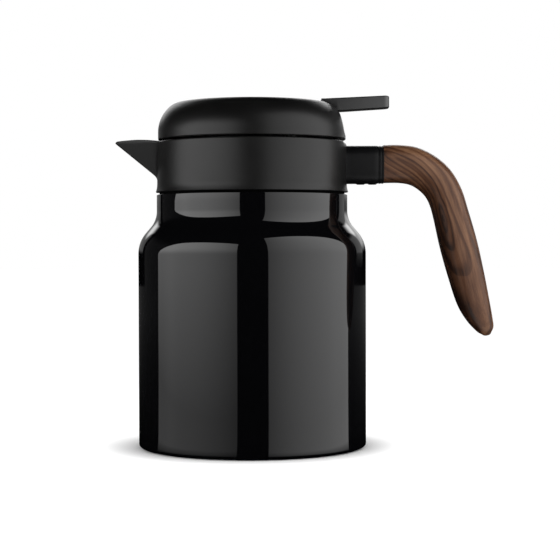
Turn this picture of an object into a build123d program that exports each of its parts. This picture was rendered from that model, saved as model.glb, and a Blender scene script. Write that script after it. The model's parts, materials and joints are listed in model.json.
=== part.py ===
from build123d import *
from math import atan2, cos, degrees, hypot, radians, sin, sqrt, tan
import os

# Thermal jug with a double-wall steel vessel, a pouring collar, a wooden handle
# and a sprung lid that tips open on a rear hinge when its thumb lever is pressed.
# Millimetres. The origin is the centre of the base on the table, +Z is up,
# the spout points along -X and the handle along +X.

# Vessel
body_radius = 60.0
straight_side_top = 101.9
shoulder_convex_radius = 17.0
shoulder_concave_radius = 13.0
shoulder_slope = 40.0
neck_step = 9.75
neck_height = 8.5
foot_corner_radius = 1.8
steel_wall = 0.6
vacuum_gap = 4.3
thread_step = 3.45
thread_height = 8.6
liner_corner_radius = 10.0

# Base stack, from the table up
pad_thickness = 1.2
pad_margin = 2.5
pad_proud = 0.4
foot_width = 9.0
base_cap_thickness = 2.2
base_cap_wall = 3.0
bottom_dish_height = 4.4
getter_radius = 8.0
getter_thickness = 2.2
liner_above_dish = 3.4

# Pouring collar
collar_inset = 0.25
collar_wall = 2.4
collar_height = 26.4
collar_groove = 1.3
groove_depth = 1.45
collar_lip_flare = 0.75
collar_lip_height = 4.0
collar_edge_radius = 0.8
collar_rear_round = 2.0
thread_clearance = 0.3
gasket_thickness = 1.5
bowl_floor_thickness = 2.2
gutter_width = 11.6
throat_wall = 2.2
throat_skirt_depth = 4.5
gasket_inset = 0.3

# Spout
spout_reach = 22.4
spout_rim_above_collar = 1.15
spout_half_angle = 27.5
spout_keel_slope = 39.2
spout_keel_start = 0.3
spout_tip_drop = 1.8
spout_tip_round = 0.4
spout_foot_reach = 1.6
spout_foot_drop = 2.2
spout_tip_radius = 1.6
spout_low_tip_radius = 0.5
spout_root_radius = 6.5
spout_low_root_radius = 0.5
spout_root_sink = 0.25
spout_wall = 1.7
spout_overlap = 0.6
channel_overlap = 3.0

# Lid
lid_gap = 1.2
dome_inset = 0.55
dome_side_height = 4.0
dome_shoulder_radius = 17.5
dome_haunch_radius = 8.0
dome_haunch_angle = 50.7
dome_crown_radius = 400.0
dome_wall = 2.4
rear_flat_inset = 1.2
rear_flat_lean = 12.0
rear_flare_top = 4.6
rear_flare_bottom = 1.8
lid_base_thickness = 2.0
lid_base_recess = 0.1
lid_base_clearance = 0.2
lid_screw_inset = 5.85
boss_radius = 3.4

# Hinge at the rear of the lid
hinge_inset = 3.8
pin_radius = 1.0
pin_clearance = 0.05
pin_recess = 0.2
knuckle_radius = 1.8
knuckle_clearance = 0.3
knuckle_half_span = 8.0
ear_width = 4.0
ear_side_clearance = 0.5
ear_top_clearance = 0.4
joint_sink = 0.5
spring_wire_radius = 0.35
spring_turn_gap = 0.1
spring_turns = 5.25
spring_fixed_leg = 8.0
spring_moving_leg = 2.8
spring_coil_clearance = 0.3
spring_end_clearance = 0.2
spring_post_side = 1.0

# Thumb lever
lever_width = 14.0
lever_inset = 12.9
lever_overhang = 22.2
lever_thickness = 6.2
lever_rise = 2.6
lever_underside_rise = 3.6
lever_above_crown = 0.15
lever_front_run = 8.0
lever_corner_radius = 2.4
lever_edge_radius = 0.7
lever_tenon_length = 5.8
lever_tenon_width = 11.6
lever_post_radius = 2.6
lever_post_height = 6.0
lever_edge_inset = 2.15
lever_post_spacing = 6.2
lever_tenon_below_top = 1.5
lever_end_lean = 0.5
lever_end_drop = 0.4
lever_screw_grip = 5.0

# Stopper under the lid
throat_gap = 2.5
stopper_wall = 2.0
stopper_depth = 6.4
seal_flange_width = 3.3
seal_flange_thickness = 1.4
seal_width = 4.8
seal_thickness = 2.6
seal_gap = 0.3
stopper_screw_inset = 8.5
foam_gap = 0.3
foam_top_space = 3.0

# Handle
handle_axis_below_top = 12.0
socket_length = 16.3
socket_width = 18.0
socket_height = 20.0
socket_corner_radius = 7.2
socket_wall = 3.0
stub_length = 10.4
socket_screw_inset = 3.1
socket_wrap = 6.0
socket_screw_length = 12.0
ring_length = 3.0
ring_groove_depth = 0.25
ring_band_inset = 0.1
tang_length = 24.0
tang_width = 8.0
tang_height = 6.0
tang_grip_clearance = 0.1
# Each row is one cross section of the grip: the outer edge (along X, Z), the
# inner edge (along X, Z) and the width, measured from the grip's root.
grip_sections = [
    (0.0, 10.4, 0.0, -9.6, 18.4),
    (8.0, 10.5, 8.0, -9.6, 18.6),
    (17.8, 9.2, 14.0, -10.6, 19.2),
    (27.3, 4.6, 18.6, -13.2, 20.0),
    (35.3, -2.6, 22.4, -17.0, 20.9),
    (41.1, -12.5, 24.8, -21.9, 21.7),
    (44.8, -24.0, 26.7, -28.9, 22.0),
    (49.3, -39.6, 30.1, -44.3, 22.0),
    (53.0, -56.1, 34.6, -60.3, 21.6),
    (55.9, -71.1, 39.1, -73.8, 20.4),
    (57.7, -81.1, 44.0, -82.2, 17.0),
    (58.2, -85.6, 49.3, -88.0, 11.5),
    (56.9, -89.1, 52.5, -90.0, 5.0),
]
grip_roundness = 0.42

# Screws and fits
screw_radius = 1.4
screw_head_radius = 2.7
screw_head_height = 1.6
screw_slot_length = 2.4
screw_slot_width = 0.6
screw_slot_depth = 0.8
short_screw_length = 8.0
screw_tip_clearance = 1.0
screw_clearance = 0.1
socket_screw_proud = 0.4
joint_gap = 0.05

# Radii that follow from the body's, from the outside in
base_opening_radius = body_radius - foot_width
pad_radius = base_opening_radius - pad_margin
neck_radius = body_radius - neck_step
thread_radius = neck_radius - thread_step
collar_radius = neck_radius - collar_inset
bowl_radius = collar_radius - collar_wall
throat_radius = bowl_radius - gutter_width
dome_radius = collar_radius - dome_inset
lid_base_radius = dome_radius - dome_wall - lid_base_clearance
lid_screw_circle = lid_base_radius - lid_screw_inset
stopper_radius = throat_radius - throat_gap
stopper_screw_circle = stopper_radius - stopper_screw_inset
seal_flange_radius = stopper_radius + seal_flange_width
seal_outer_radius = stopper_radius + seal_width

# Heights and places that follow
slope = radians(shoulder_slope)
bend_sum = shoulder_convex_radius + shoulder_concave_radius
slope_length = ((body_radius - neck_radius) - bend_sum * (1 - cos(slope))) / sin(slope)
neck_start = straight_side_top + bend_sum * sin(slope) + slope_length * cos(slope)
neck_top = neck_start + neck_height
mouth_z = neck_top + thread_height
rim_z = mouth_z + steel_wall
foot_z = pad_proud
dish_z = foot_z + steel_wall + bottom_dish_height
liner_bottom = dish_z + steel_wall + liner_above_dish
liner_inset = 2 * steel_wall + vacuum_gap

collar_bottom = neck_top + collar_groove
collar_top = collar_bottom + collar_height
floor_z = rim_z + gasket_thickness
floor_top = floor_z + bowl_floor_thickness

lid_z = collar_top + lid_gap
lid_base_z = lid_z + lid_base_recess
lid_base_top = lid_base_z + lid_base_thickness
hinge_x = collar_radius - hinge_inset
hinge_z = (collar_top + lid_z) / 2
ear_inner = knuckle_half_span + knuckle_clearance
ear_outer = ear_inner + ear_width
swing_radius = knuckle_radius + knuckle_clearance

# Centres of the dome's three arcs
shoulder_centre = (dome_radius - dome_shoulder_radius, lid_z + dome_side_height)
haunch_offset = dome_haunch_radius - dome_shoulder_radius
haunch_centre = (shoulder_centre[0] - haunch_offset * cos(radians(dome_haunch_angle)),
                 shoulder_centre[1] - haunch_offset * sin(radians(dome_haunch_angle)))
crown_offset = dome_crown_radius - dome_haunch_radius
crown_centre_z = haunch_centre[1] - sqrt(crown_offset ** 2 - haunch_centre[0] ** 2)
crown_angle = degrees(atan2(haunch_centre[1] - crown_centre_z, haunch_centre[0]))
dome_top = crown_centre_z + dome_crown_radius

handle_z = collar_top - handle_axis_below_top
socket_end = collar_radius + socket_length
grip_start = socket_end + ring_length
bar_half_width = socket_width / 2 - socket_wall
bar_half_height = socket_height / 2 - socket_wall
stub_end = collar_radius + stub_length
socket_screw_x = [stub_end - socket_screw_inset, stub_end + socket_screw_inset]
socket_screw_sunk = screw_head_height - socket_screw_proud

spring_coil_radius = pin_radius + spring_coil_clearance + spring_wire_radius
spring_pitch = 2 * spring_wire_radius + spring_turn_gap
spring_half_span = spring_turns * spring_pitch / 2 + spring_wire_radius + spring_coil_clearance
spring_room_half = spring_half_span + spring_end_clearance
spring_post_half = spring_half_span + spring_post_side

lever_start = dome_radius - lever_inset
lever_end = collar_radius + lever_overhang
lever_top_start = dome_top + lever_above_crown
lever_tenon_bottom = lid_base_top + lever_post_height
lever_screw_x = lever_start + lever_edge_inset + lever_tenon_length / 2
lever_screw_places = [(lever_screw_x, -lever_post_spacing / 2), (lever_screw_x, lever_post_spacing / 2)]
lever_screw_tip = lever_tenon_bottom + lever_screw_grip

stopper_bottom = floor_top - stopper_depth


def round_pattern(size, start):
    # Three places on a circle, 120 degrees apart
    angles = [radians(start + turn) for turn in (0, 120, 240)]
    return [(size * cos(angle), size * sin(angle)) for angle in angles]


lid_screw_places = round_pattern(lid_screw_circle, 60)
lid_screw_tip = lid_base_z - screw_head_height + short_screw_length
stopper_screw_places = round_pattern(stopper_screw_circle, 0)
stopper_screw_tip = lid_base_top + screw_head_height - short_screw_length
socket_screw_tip = handle_z - socket_height / 2 - socket_screw_proud + socket_screw_length


def at(x, z):
    return Vector(x, 0, z)


def bend(centre, size, start, end):
    # An arc in the XZ plane, from one angle to another in degrees
    points = []
    for angle in (start, (start + end) / 2, end):
        points.append(at(centre[0] + size * cos(radians(angle)), centre[1] + size * sin(radians(angle))))
    return ThreePointArc(*points)


def turned(edges):
    # Revolves a closed outline in the XZ plane about the jug's axis
    return revolve(make_face(edges), Axis.Z)


def turned_points(*points):
    return turned([Polyline([at(*point) for point in points], close=True)])


def ring(inner, outer, bottom, top):
    return turned_points((inner, bottom), (outer, bottom), (outer, top), (inner, top))


def disc(radius, bottom, top, x=0.0, y=0.0):
    return Pos(x, y, (bottom + top) / 2) * Cylinder(radius, top - bottom)


def block(x0, x1, y0, y1, z0, z1):
    return Pos((x0 + x1) / 2, (y0 + y1) / 2, (z0 + z1) / 2) * Box(x1 - x0, y1 - y0, z1 - z0)


def across(radius, y0, y1):
    # A cylinder on the hinge axis
    return Pos(hinge_x, (y0 + y1) / 2, hinge_z) * Rot(90, 0, 0) * Cylinder(radius, y1 - y0)


def mirrored(shape):
    return shape + mirror(shape, Plane.XZ)


# Vessel
def vessel_solid(inset, bottom, corner, top):
    # The vessel's turned form, moved inwards by inset all round
    side = body_radius - inset
    convex = shoulder_convex_radius - inset
    concave = shoulder_concave_radius + inset
    convex_centre = (body_radius - shoulder_convex_radius, straight_side_top)
    concave_centre = (neck_radius + shoulder_concave_radius, neck_start)
    first = bend(convex_centre, convex, 0, shoulder_slope)
    second = bend(concave_centre, concave, 180 + shoulder_slope, 180)
    return turned([
        Line(at(0, bottom), at(side - corner, bottom)),
        bend((side - corner, bottom + corner), corner, -90, 0),
        Line(at(side, bottom + corner), first @ 0),
        first,
        Line(first @ 1, second @ 0),
        second,
        Line(second @ 1, at(neck_radius - inset, top)),
        Line(at(neck_radius - inset, top), at(0, top)),
        Line(at(0, top), at(0, bottom)),
    ])


def make_outer_shell():
    outside = vessel_solid(0, foot_z, foot_corner_radius, neck_top)
    outside += disc(thread_radius, neck_top - steel_wall, mouth_z)
    inside = vessel_solid(steel_wall, foot_z + steel_wall, foot_corner_radius - steel_wall,
                          neck_top - steel_wall)
    bore = disc(thread_radius - steel_wall, neck_top - 2 * steel_wall, mouth_z + 1)
    opening = disc(base_opening_radius, foot_z - 1, foot_z + 2 * steel_wall)
    return outside - inside - bore - opening


def make_inner_liner():
    outside = vessel_solid(liner_inset - steel_wall, liner_bottom, liner_corner_radius, mouth_z)
    inside = vessel_solid(liner_inset, liner_bottom + steel_wall, liner_corner_radius - steel_wall,
                          rim_z + 1)
    rim = disc(thread_radius, mouth_z, rim_z)
    return outside + rim - inside


def make_vacuum_bottom():
    # A dish that closes the vacuum space; its turned-down edge stands on the shell's foot
    outer = body_radius - steel_wall
    ledge = foot_z + steel_wall
    start = base_opening_radius + 1
    return turned_points((0, dish_z), (start, dish_z), (start, ledge), (outer - foot_corner_radius, ledge),
                         (outer - foot_corner_radius, dish_z), (outer, dish_z), (outer, dish_z + steel_wall),
                         (0, dish_z + steel_wall))


def make_base_cap():
    # A shallow cup that fills the shell's opening, with a recess below for the pad
    outer = base_opening_radius - joint_gap
    cap = disc(outer, foot_z, foot_z + base_cap_thickness)
    cap += ring(outer - base_cap_wall, outer, foot_z + base_cap_thickness, dish_z)
    return cap - disc(pad_radius + joint_gap, foot_z - 1, pad_thickness)


def make_base_pad():
    return disc(pad_radius, 0, pad_thickness)


def make_getter():
    bottom = dish_z + steel_wall
    return disc(getter_radius, bottom, bottom + getter_thickness)


# Pouring collar with its spout, bowl and hinge ears
def spout_stations():
    # Height and reach of the keel: wall, foot, knee below the tip, and rim
    rim = collar_top + spout_rim_above_collar
    knee = rim - spout_tip_drop
    knee_reach = spout_reach - spout_tip_round
    foot = knee - (knee_reach - spout_foot_reach) * tan(radians(spout_keel_slope))
    return [
        (foot - spout_foot_drop, spout_keel_start),
        (foot, spout_foot_reach),
        (knee, knee_reach),
        (rim, spout_reach),
    ]


def make_beak():
    # The spout's outside, lofted up the keel and rooted in the collar's wall
    angle = radians(spout_half_angle)
    sections = []
    for height, reach in spout_stations():
        share = reach / spout_reach
        tip = spout_low_tip_radius + (spout_tip_radius - spout_low_tip_radius) * share
        root = spout_low_root_radius + (spout_root_radius - spout_low_root_radius) * share
        sections.append(Pos(0, 0, height) * beak_outline(collar_radius + reach, tip, root, angle))
    return loft(sections, ruled=True)


def make_channel():
    # The V-shaped pouring channel, cut through the wall from the bowl to the tip
    angle = radians(spout_half_angle)
    setback = spout_wall / sin(angle)
    inner = bowl_radius - channel_overlap
    _, (foot, foot_reach), (knee, knee_reach), (rim, _) = spout_stations()
    slope_run = (knee_reach - foot_reach) / (knee - foot)
    low_reach = inner + setback - collar_radius + spout_overlap
    low = knee - (knee_reach - low_reach) / slope_run
    sections = []
    for height, reach in ((low, low_reach), (knee, knee_reach), (rim + channel_overlap, spout_reach)):
        tip_x = collar_radius + reach - setback
        half = (tip_x - inner) * tan(angle)
        corners = [Vector(-tip_x, 0), Vector(-inner, half), Vector(-inner, -half)]
        sections.append(Pos(0, 0, height) * make_face([Polyline(corners, close=True)]))
    channel = loft(sections, ruled=True)
    room = block(-collar_radius - spout_reach, 0, -collar_radius, collar_radius, floor_top,
                 rim + spout_overlap)
    return channel & room


def beak_outline(reach, tip, root, angle):
    # Plan of the spout: a round tip, two straight sides and two hollow roots
    wall = collar_radius - spout_root_sink
    centre = Vector(-(reach - tip), 0)
    normal = Vector(-sin(angle), cos(angle))
    along = Vector(cos(angle), sin(angle))
    tip_end = centre + normal * tip
    # Root circle: touches the side line, and a circle just inside the collar's wall
    foot = tip_end + normal * root
    b = foot.dot(along)
    distance = -b - sqrt(b * b - foot.dot(foot) + (wall + root) ** 2)
    root_centre = foot + along * distance
    side_end = root_centre - normal * root
    wall_point = root_centre * (wall / (wall + root))
    middle = ((side_end + wall_point) * 0.5 - root_centre).normalized() * root + root_centre
    inside = wall_point * ((bowl_radius + spout_overlap) / wall)
    upper = [
        Line(tip_end, side_end),
        ThreePointArc(side_end, middle, wall_point),
        Line(wall_point, inside),
    ]
    lower = [mirror(edge, Plane.XZ) for edge in upper]
    tip_arc = ThreePointArc(Vector(tip_end.X, -tip_end.Y), centre - Vector(tip, 0), tip_end)
    close = Line(inside, Vector(inside.X, -inside.Y))
    return make_face([tip_arc] + upper + [close] + lower)


def collar_profile():
    edge = collar_edge_radius
    return turned([
        Polyline([
            at(throat_radius, floor_z - throat_skirt_depth),
            at(throat_radius + throat_wall, floor_z - throat_skirt_depth),
            at(throat_radius + throat_wall, floor_z),
            at(thread_radius + thread_clearance, floor_z),
            at(thread_radius + thread_clearance, neck_top),
            at(neck_radius - groove_depth, neck_top),
            at(neck_radius - groove_depth, collar_bottom),
            at(collar_radius + collar_lip_flare, collar_bottom),
            at(collar_radius, collar_bottom + collar_lip_height),
            at(collar_radius, collar_top - edge),
        ]),
        bend((collar_radius - edge, collar_top - edge), edge, 0, 90),
        Polyline([
            at(collar_radius - edge, collar_top),
            at(bowl_radius, collar_top),
            at(bowl_radius, floor_top),
            at(throat_radius, floor_top),
            at(throat_radius, floor_z - throat_skirt_depth),
        ]),
    ])


def rear_round_cutter():
    # Rounds off the collar's top edge behind the hinge so that the lid's rim can swing down
    size = collar_rear_round
    span = ear_outer + ear_side_clearance + size
    centre = (collar_radius - size, collar_top - size)
    arc = bend(centre, size, 0, 90)
    outside = Polyline([
        arc @ 0,
        at(collar_radius + size, centre[1]),
        at(collar_radius + size, collar_top + size),
        at(centre[0], collar_top + size),
        arc @ 1,
    ])
    return Pos(0, span, 0) * extrude(make_face([arc, outside]), 2 * span, dir=(0, -1, 0))


def make_pouring_collar():
    collar = collar_profile()
    collar += make_beak()
    collar -= make_channel()
    # Hinge ears, and the post that holds the spring's fixed leg
    root = floor_top - joint_sink
    ear = across(knuckle_radius, ear_inner, ear_outer)
    ear += block(hinge_x - knuckle_radius, collar_radius, ear_inner, ear_outer, root, hinge_z)
    ear &= disc(collar_radius - joint_sink, root, hinge_z + knuckle_radius)
    ear -= block(hinge_x + knuckle_radius, collar_radius, ear_inner, ear_outer, collar_top, hinge_z)
    collar += mirrored(ear)
    collar += block(hinge_x - knuckle_radius, collar_radius - joint_sink, -spring_post_half,
                    spring_post_half, root, hinge_z - spring_fixed_leg / 2)
    collar -= rear_round_cutter()
    collar -= across(swing_radius, -ear_inner, ear_inner)
    collar -= across(pin_radius + pin_clearance, -ear_outer - 1, ear_outer + 1)
    collar -= spring_leg_solid(0, screw_clearance)
    # Stub that carries the handle's socket, with a screw hole from below
    collar += handle_bar(collar_radius - collar_wall / 2, stub_end, 0)
    return collar - socket_screw_hole(socket_screw_x[0])


def make_neck_gasket():
    return ring(neck_radius - liner_inset + gasket_inset, thread_radius, rim_z, floor_z)


# Lid
def dome_solid(inset, bottom):
    # The lid's domed form: a plumb side, a shoulder, a haunch and a shallow crown, all tangent
    side = dome_radius - inset
    shoulder = bend(shoulder_centre, dome_shoulder_radius - inset, 0, dome_haunch_angle)
    haunch = bend(haunch_centre, dome_haunch_radius - inset, dome_haunch_angle, crown_angle)
    crown = bend((0, crown_centre_z), dome_crown_radius - inset, crown_angle, 90)
    return turned([
        Line(at(side, bottom), shoulder @ 0),
        shoulder,
        haunch,
        crown,
        Line(crown @ 1, at(0, bottom)),
        Line(at(0, bottom), at(side, bottom)),
    ])


def rear_flat_cutter():
    # Flattens the lid's rear, leaning inwards, above a foot that flares back out to the rim
    flat = dome_radius - rear_flat_inset
    flat_low = lid_z + rear_flare_top
    lean = radians(rear_flat_lean)
    flare = TangentArc(at(flat, flat_low), at(dome_radius, lid_z + rear_flare_bottom),
                       tangent=Vector(sin(lean), 0, -cos(lean)))
    outside = Polyline([
        flare @ 1,
        at(dome_radius + dome_wall, lid_z + rear_flare_bottom),
        at(dome_radius + dome_wall, dome_top),
        at(flat - (dome_top - flat_low) * tan(lean), dome_top),
        flare @ 0,
    ])
    return Pos(0, dome_radius, 0) * extrude(make_face([flare, outside]), 2 * dome_radius, dir=(0, -1, 0))


def make_lid_dome():
    dome = dome_solid(0, lid_z) - dome_solid(dome_wall, lid_z - dome_wall)
    for x, y in lid_screw_places:
        dome += disc(boss_radius, lid_base_top, dome_top, x, y) & dome_solid(dome_wall / 2, lid_z)
        dome -= screw_hole(x, y, lid_base_top, lid_screw_tip + screw_tip_clearance)
    dome -= rear_flat_cutter()
    dome -= across(swing_radius, -ear_outer - ear_side_clearance, ear_outer + ear_side_clearance)
    dome -= block(hinge_x, dome_radius, -ear_outer - ear_side_clearance,
                  ear_outer + ear_side_clearance, lid_z, lid_z + ear_top_clearance)
    return dome - lever_tenon(joint_gap, lid_base_top, dome_top)


def make_lid_base():
    base = disc(lid_base_radius, lid_base_z, lid_base_top)
    for x, y in lid_screw_places + stopper_screw_places:
        base -= disc(screw_radius + screw_clearance, lid_base_z, lid_base_top, x, y)
    # Clear of the ears and of the spring, but solid between them for the knuckles
    base -= mirrored(across(swing_radius, ear_inner, ear_outer + ear_side_clearance))
    base -= block(hinge_x - swing_radius, dome_radius, -spring_room_half, spring_room_half,
                  lid_base_z, lid_base_top)
    knuckle = across(knuckle_radius, spring_room_half, knuckle_half_span)
    neck = block(hinge_x - knuckle_radius, dome_radius, spring_room_half, knuckle_half_span,
                 hinge_z, lid_base_top)
    knuckle += neck & disc(lid_base_radius, hinge_z, lid_base_top)
    base += mirrored(knuckle)
    base -= across(pin_radius + pin_clearance, -ear_outer, ear_outer)
    # Groove for the spring's moving leg, open at the top
    leg = spring_leg_solid(1, screw_clearance)
    groove = leg.bounding_box()
    base -= leg
    base -= block(groove.min.X, hinge_x, groove.min.Y, groove.max.Y, hinge_z + spring_coil_radius,
                  lid_base_top)
    # Posts that carry the lever
    for x, y in lever_screw_places:
        base += disc(lever_post_radius, lid_base_top - joint_sink, lever_tenon_bottom, x, y)
        base -= disc(screw_radius + screw_clearance, lid_base_z, lever_tenon_bottom, x, y)
    return base


def lever_tenon(gap, bottom, top):
    x0 = lever_start + lever_edge_inset
    half = lever_tenon_width / 2 + gap
    return block(x0 - gap, x0 + lever_tenon_length + gap, -half, half, bottom, top)


def make_thumb_lever():
    # Side outline: a long shallow wedge that starts as a point and climbs gently to the thumb end
    run = lever_end - lever_start
    top_end = lever_top_start + run * tan(radians(lever_rise))
    underside_end = top_end - lever_thickness
    underside_run = run - lever_front_run
    underside_start = underside_end - underside_run * tan(radians(lever_underside_rise))
    outline = Polyline([
        at(lever_start, lever_top_start),
        at(lever_end - lever_end_lean, top_end),
        at(lever_end, underside_end + lever_end_drop),
        at(lever_start + lever_front_run, underside_start),
    ], close=True)
    half = lever_width / 2
    bar = Pos(0, half, 0) * extrude(make_face([outline]), lever_width, dir=(0, -1, 0))
    end_face = bar.faces().sort_by(Axis.X)[-1]
    uprights = [edge for edge in end_face.edges() if abs(edge.tangent_at(0.5).Y) < 0.5]
    bar = fillet(uprights, lever_corner_radius)
    top_edges = bar.faces().sort_by(Axis.Z)[-1].edges().sort_by(Axis.X)
    bar = fillet(top_edges[1:], lever_edge_radius)
    bar -= dome_solid(-joint_gap, lid_z)
    lever = bar + lever_tenon(0, lever_tenon_bottom, lever_top_start - lever_tenon_below_top)
    for x, y in lever_screw_places:
        lever -= screw_hole(x, y, lever_tenon_bottom, lever_screw_tip + screw_tip_clearance)
    return lever


def make_hinge_pin():
    return across(pin_radius, -ear_outer + pin_recess, ear_outer - pin_recess)


def spring_path():
    # The coil winds about the pin from the rear of its +Y end to the top of its -Y end
    length = spring_pitch * spring_turns
    return Pos(hinge_x, length / 2, hinge_z) * Rot(90, 0, 0) * Helix(spring_pitch, length, spring_coil_radius)


def spring_leg_solid(end, clearance):
    # A straight leg that leaves the coil along its last turn: end 0 is the fixed leg, 1 the moving one
    path = spring_path()
    length = spring_moving_leg if end else spring_fixed_leg
    outward = (path % end) * (1 if end else -1)
    section = Plane(origin=path @ end, z_dir=outward) * Circle(spring_wire_radius + clearance)
    return extrude(section, length + clearance)


def make_lid_spring():
    path = spring_path()
    section = Plane(origin=path @ 0, z_dir=path % 0) * Circle(spring_wire_radius)
    coil = sweep(section, path=path, is_frenet=True)
    return coil + spring_leg_solid(0, 0) + spring_leg_solid(1, 0)


# Stopper
def make_stopper_cup():
    cup = disc(stopper_radius, stopper_bottom, lid_base_z)
    cup -= disc(stopper_radius - stopper_wall, stopper_bottom + stopper_wall, lid_base_z)
    flange_z = floor_top + seal_gap + seal_thickness
    cup += ring(stopper_radius - joint_sink, seal_flange_radius, flange_z, flange_z + seal_flange_thickness)
    for x, y in stopper_screw_places:
        cup += disc(boss_radius, stopper_bottom + stopper_wall - joint_sink, lid_base_z, x, y)
        cup -= screw_hole(x, y, stopper_screw_tip - screw_tip_clearance, lid_base_z)
    return cup


def make_stopper_insulation():
    bottom = stopper_bottom + stopper_wall
    foam = disc(stopper_radius - stopper_wall - foam_gap, bottom, lid_base_z - foam_top_space)
    for x, y in stopper_screw_places:
        foam -= disc(boss_radius + foam_gap, bottom, lid_base_z, x, y)
    return foam


def make_stopper_seal():
    bottom = floor_top + seal_gap
    return ring(stopper_radius + joint_gap, seal_outer_radius, bottom, bottom + seal_thickness)


# Handle
def socket_section(x, shrink):
    width = socket_width - 2 * shrink
    height = socket_height - 2 * shrink
    radius = max(socket_corner_radius - shrink, 0.5)
    plane = Plane(origin=(x, 0, handle_z), x_dir=(0, 1, 0), z_dir=(1, 0, 0))
    return plane * RectangleRounded(width, height, radius)


def socket_bar(x0, x1, shrink):
    return extrude(socket_section(x0, shrink), x1 - x0)


def handle_bar(x0, x1, gap):
    # The square bar inside the socket, or with a gap the hole that it fills
    return block(x0, x1, -bar_half_width - gap, bar_half_width + gap,
                 handle_z - bar_half_height - gap, handle_z + bar_half_height + gap)


def socket_screw_hole(x):
    return screw_hole(x, 0, handle_z - bar_half_height, socket_screw_tip + screw_tip_clearance)


def make_handle_socket():
    socket = socket_bar(collar_radius - socket_wrap, socket_end, 0)
    socket -= disc(collar_radius + joint_gap, handle_z - socket_height, handle_z + socket_height)
    socket -= handle_bar(collar_radius - socket_wrap, socket_end, joint_gap)
    seat = handle_z - socket_height / 2
    for x in socket_screw_x:
        socket -= disc(screw_radius + screw_clearance, seat, handle_z, x)
        socket -= disc(screw_head_radius + screw_clearance, seat, seat + socket_screw_sunk, x)
    return socket


def make_socket_ring():
    # Two raised bands with a groove on each side of the first
    step = ring_length / 4
    ring_solid = socket_bar(socket_end, grip_start, ring_groove_depth)
    for band in (1, 3):
        ring_solid += socket_bar(socket_end + band * step, socket_end + (band + 1) * step, ring_band_inset)
    return ring_solid - handle_bar(socket_end, grip_start, joint_gap)


def grip_section(row):
    outer_x, outer_z, inner_x, inner_z, width = row
    height = hypot(outer_x - inner_x, outer_z - inner_z)
    origin = (grip_start + (outer_x + inner_x) / 2, 0, handle_z + (outer_z + inner_z) / 2)
    forward = Vector(outer_z - inner_z, 0, -(outer_x - inner_x))
    radius = grip_roundness * min(width, height)
    return Plane(origin=origin, x_dir=(0, 1, 0), z_dir=forward) * RectangleRounded(width, height, radius)


def make_wood_grip():
    grip = loft([grip_section(row) for row in grip_sections])
    gap = tang_grip_clearance
    grip -= block(grip_start - 1, grip_start + tang_length + gap, -tang_width / 2 - gap, tang_width / 2 + gap,
                  handle_z - tang_height / 2 - gap, handle_z + tang_height / 2 + gap)
    return grip


def make_grip_tang():
    tang = handle_bar(stub_end + joint_gap, grip_start, 0)
    tang += block(grip_start, grip_start + tang_length, -tang_width / 2, tang_width / 2,
                  handle_z - tang_height / 2, handle_z + tang_height / 2)
    return tang - socket_screw_hole(socket_screw_x[1])


# Screws, all with a pan head and a cross slot
def screw_hole(x, y, bottom, top):
    return disc(screw_radius + joint_gap, bottom, top, x, y)


def screw(length):
    # Head down at the origin, shank pointing up
    body = disc(screw_head_radius, 0, screw_head_height) + disc(screw_radius, screw_head_height, length)
    half = screw_slot_width / 2
    reach = screw_slot_length / 2
    slot = block(-reach, reach, -half, half, 0, screw_slot_depth)
    return body - slot - slot.rotate(Axis.Z, 90)


def make_socket_screws():
    bottom = handle_z - socket_height / 2 - socket_screw_proud
    return Compound([Pos(x, 0, bottom) * screw(socket_screw_length) for x in socket_screw_x])


def make_lid_base_screws():
    bottom = lid_base_z - screw_head_height
    return Compound([Pos(x, y, bottom) * screw(short_screw_length) for x, y in lid_screw_places])


def make_stopper_screws():
    # Heads on top of the lid's base plate, shanks pointing down into the stopper
    head_top = lid_base_top + screw_head_height
    turned_over = Rot(180, 0, 0) * screw(short_screw_length)
    return Compound([Pos(x, y, head_top) * turned_over for x, y in stopper_screw_places])


def make_lever_screws():
    bottom = lid_base_z - screw_head_height
    return Compound([Pos(x, y, bottom) * screw(lever_screw_tip - bottom) for x, y in lever_screw_places])


nodes = {
    "outer_shell": make_outer_shell,
    "inner_liner": make_inner_liner,
    "vacuum_bottom": make_vacuum_bottom,
    "getter": make_getter,
    "base_cap": make_base_cap,
    "base_pad": make_base_pad,
    "pouring_collar": make_pouring_collar,
    "neck_gasket": make_neck_gasket,
    "handle_socket": make_handle_socket,
    "socket_ring": make_socket_ring,
    "wood_grip": make_wood_grip,
    "grip_tang": make_grip_tang,
    "socket_screws": make_socket_screws,
    "lid_dome": make_lid_dome,
    "lid_base": make_lid_base,
    "lid_base_screws": make_lid_base_screws,
    "thumb_lever": make_thumb_lever,
    "lever_screws": make_lever_screws,
    "hinge_pin": make_hinge_pin,
    "lid_spring": make_lid_spring,
    "stopper_cup": make_stopper_cup,
    "stopper_insulation": make_stopper_insulation,
    "stopper_seal": make_stopper_seal,
    "stopper_screws": make_stopper_screws,
}

os.makedirs("parts", exist_ok=True)
for name, make in nodes.items():
    shape = make()
    export_step(shape, f"parts/{name}.step")
    box = shape.bounding_box()
    print(name, [round(v, 2) for v in (*box.min, *box.max)])
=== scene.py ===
import json
from math import atan2, cos, degrees, exp, hypot, pi, radians, sin, sqrt, tan
import bpy
import bmesh
from mathutils import Matrix, Vector


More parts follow.
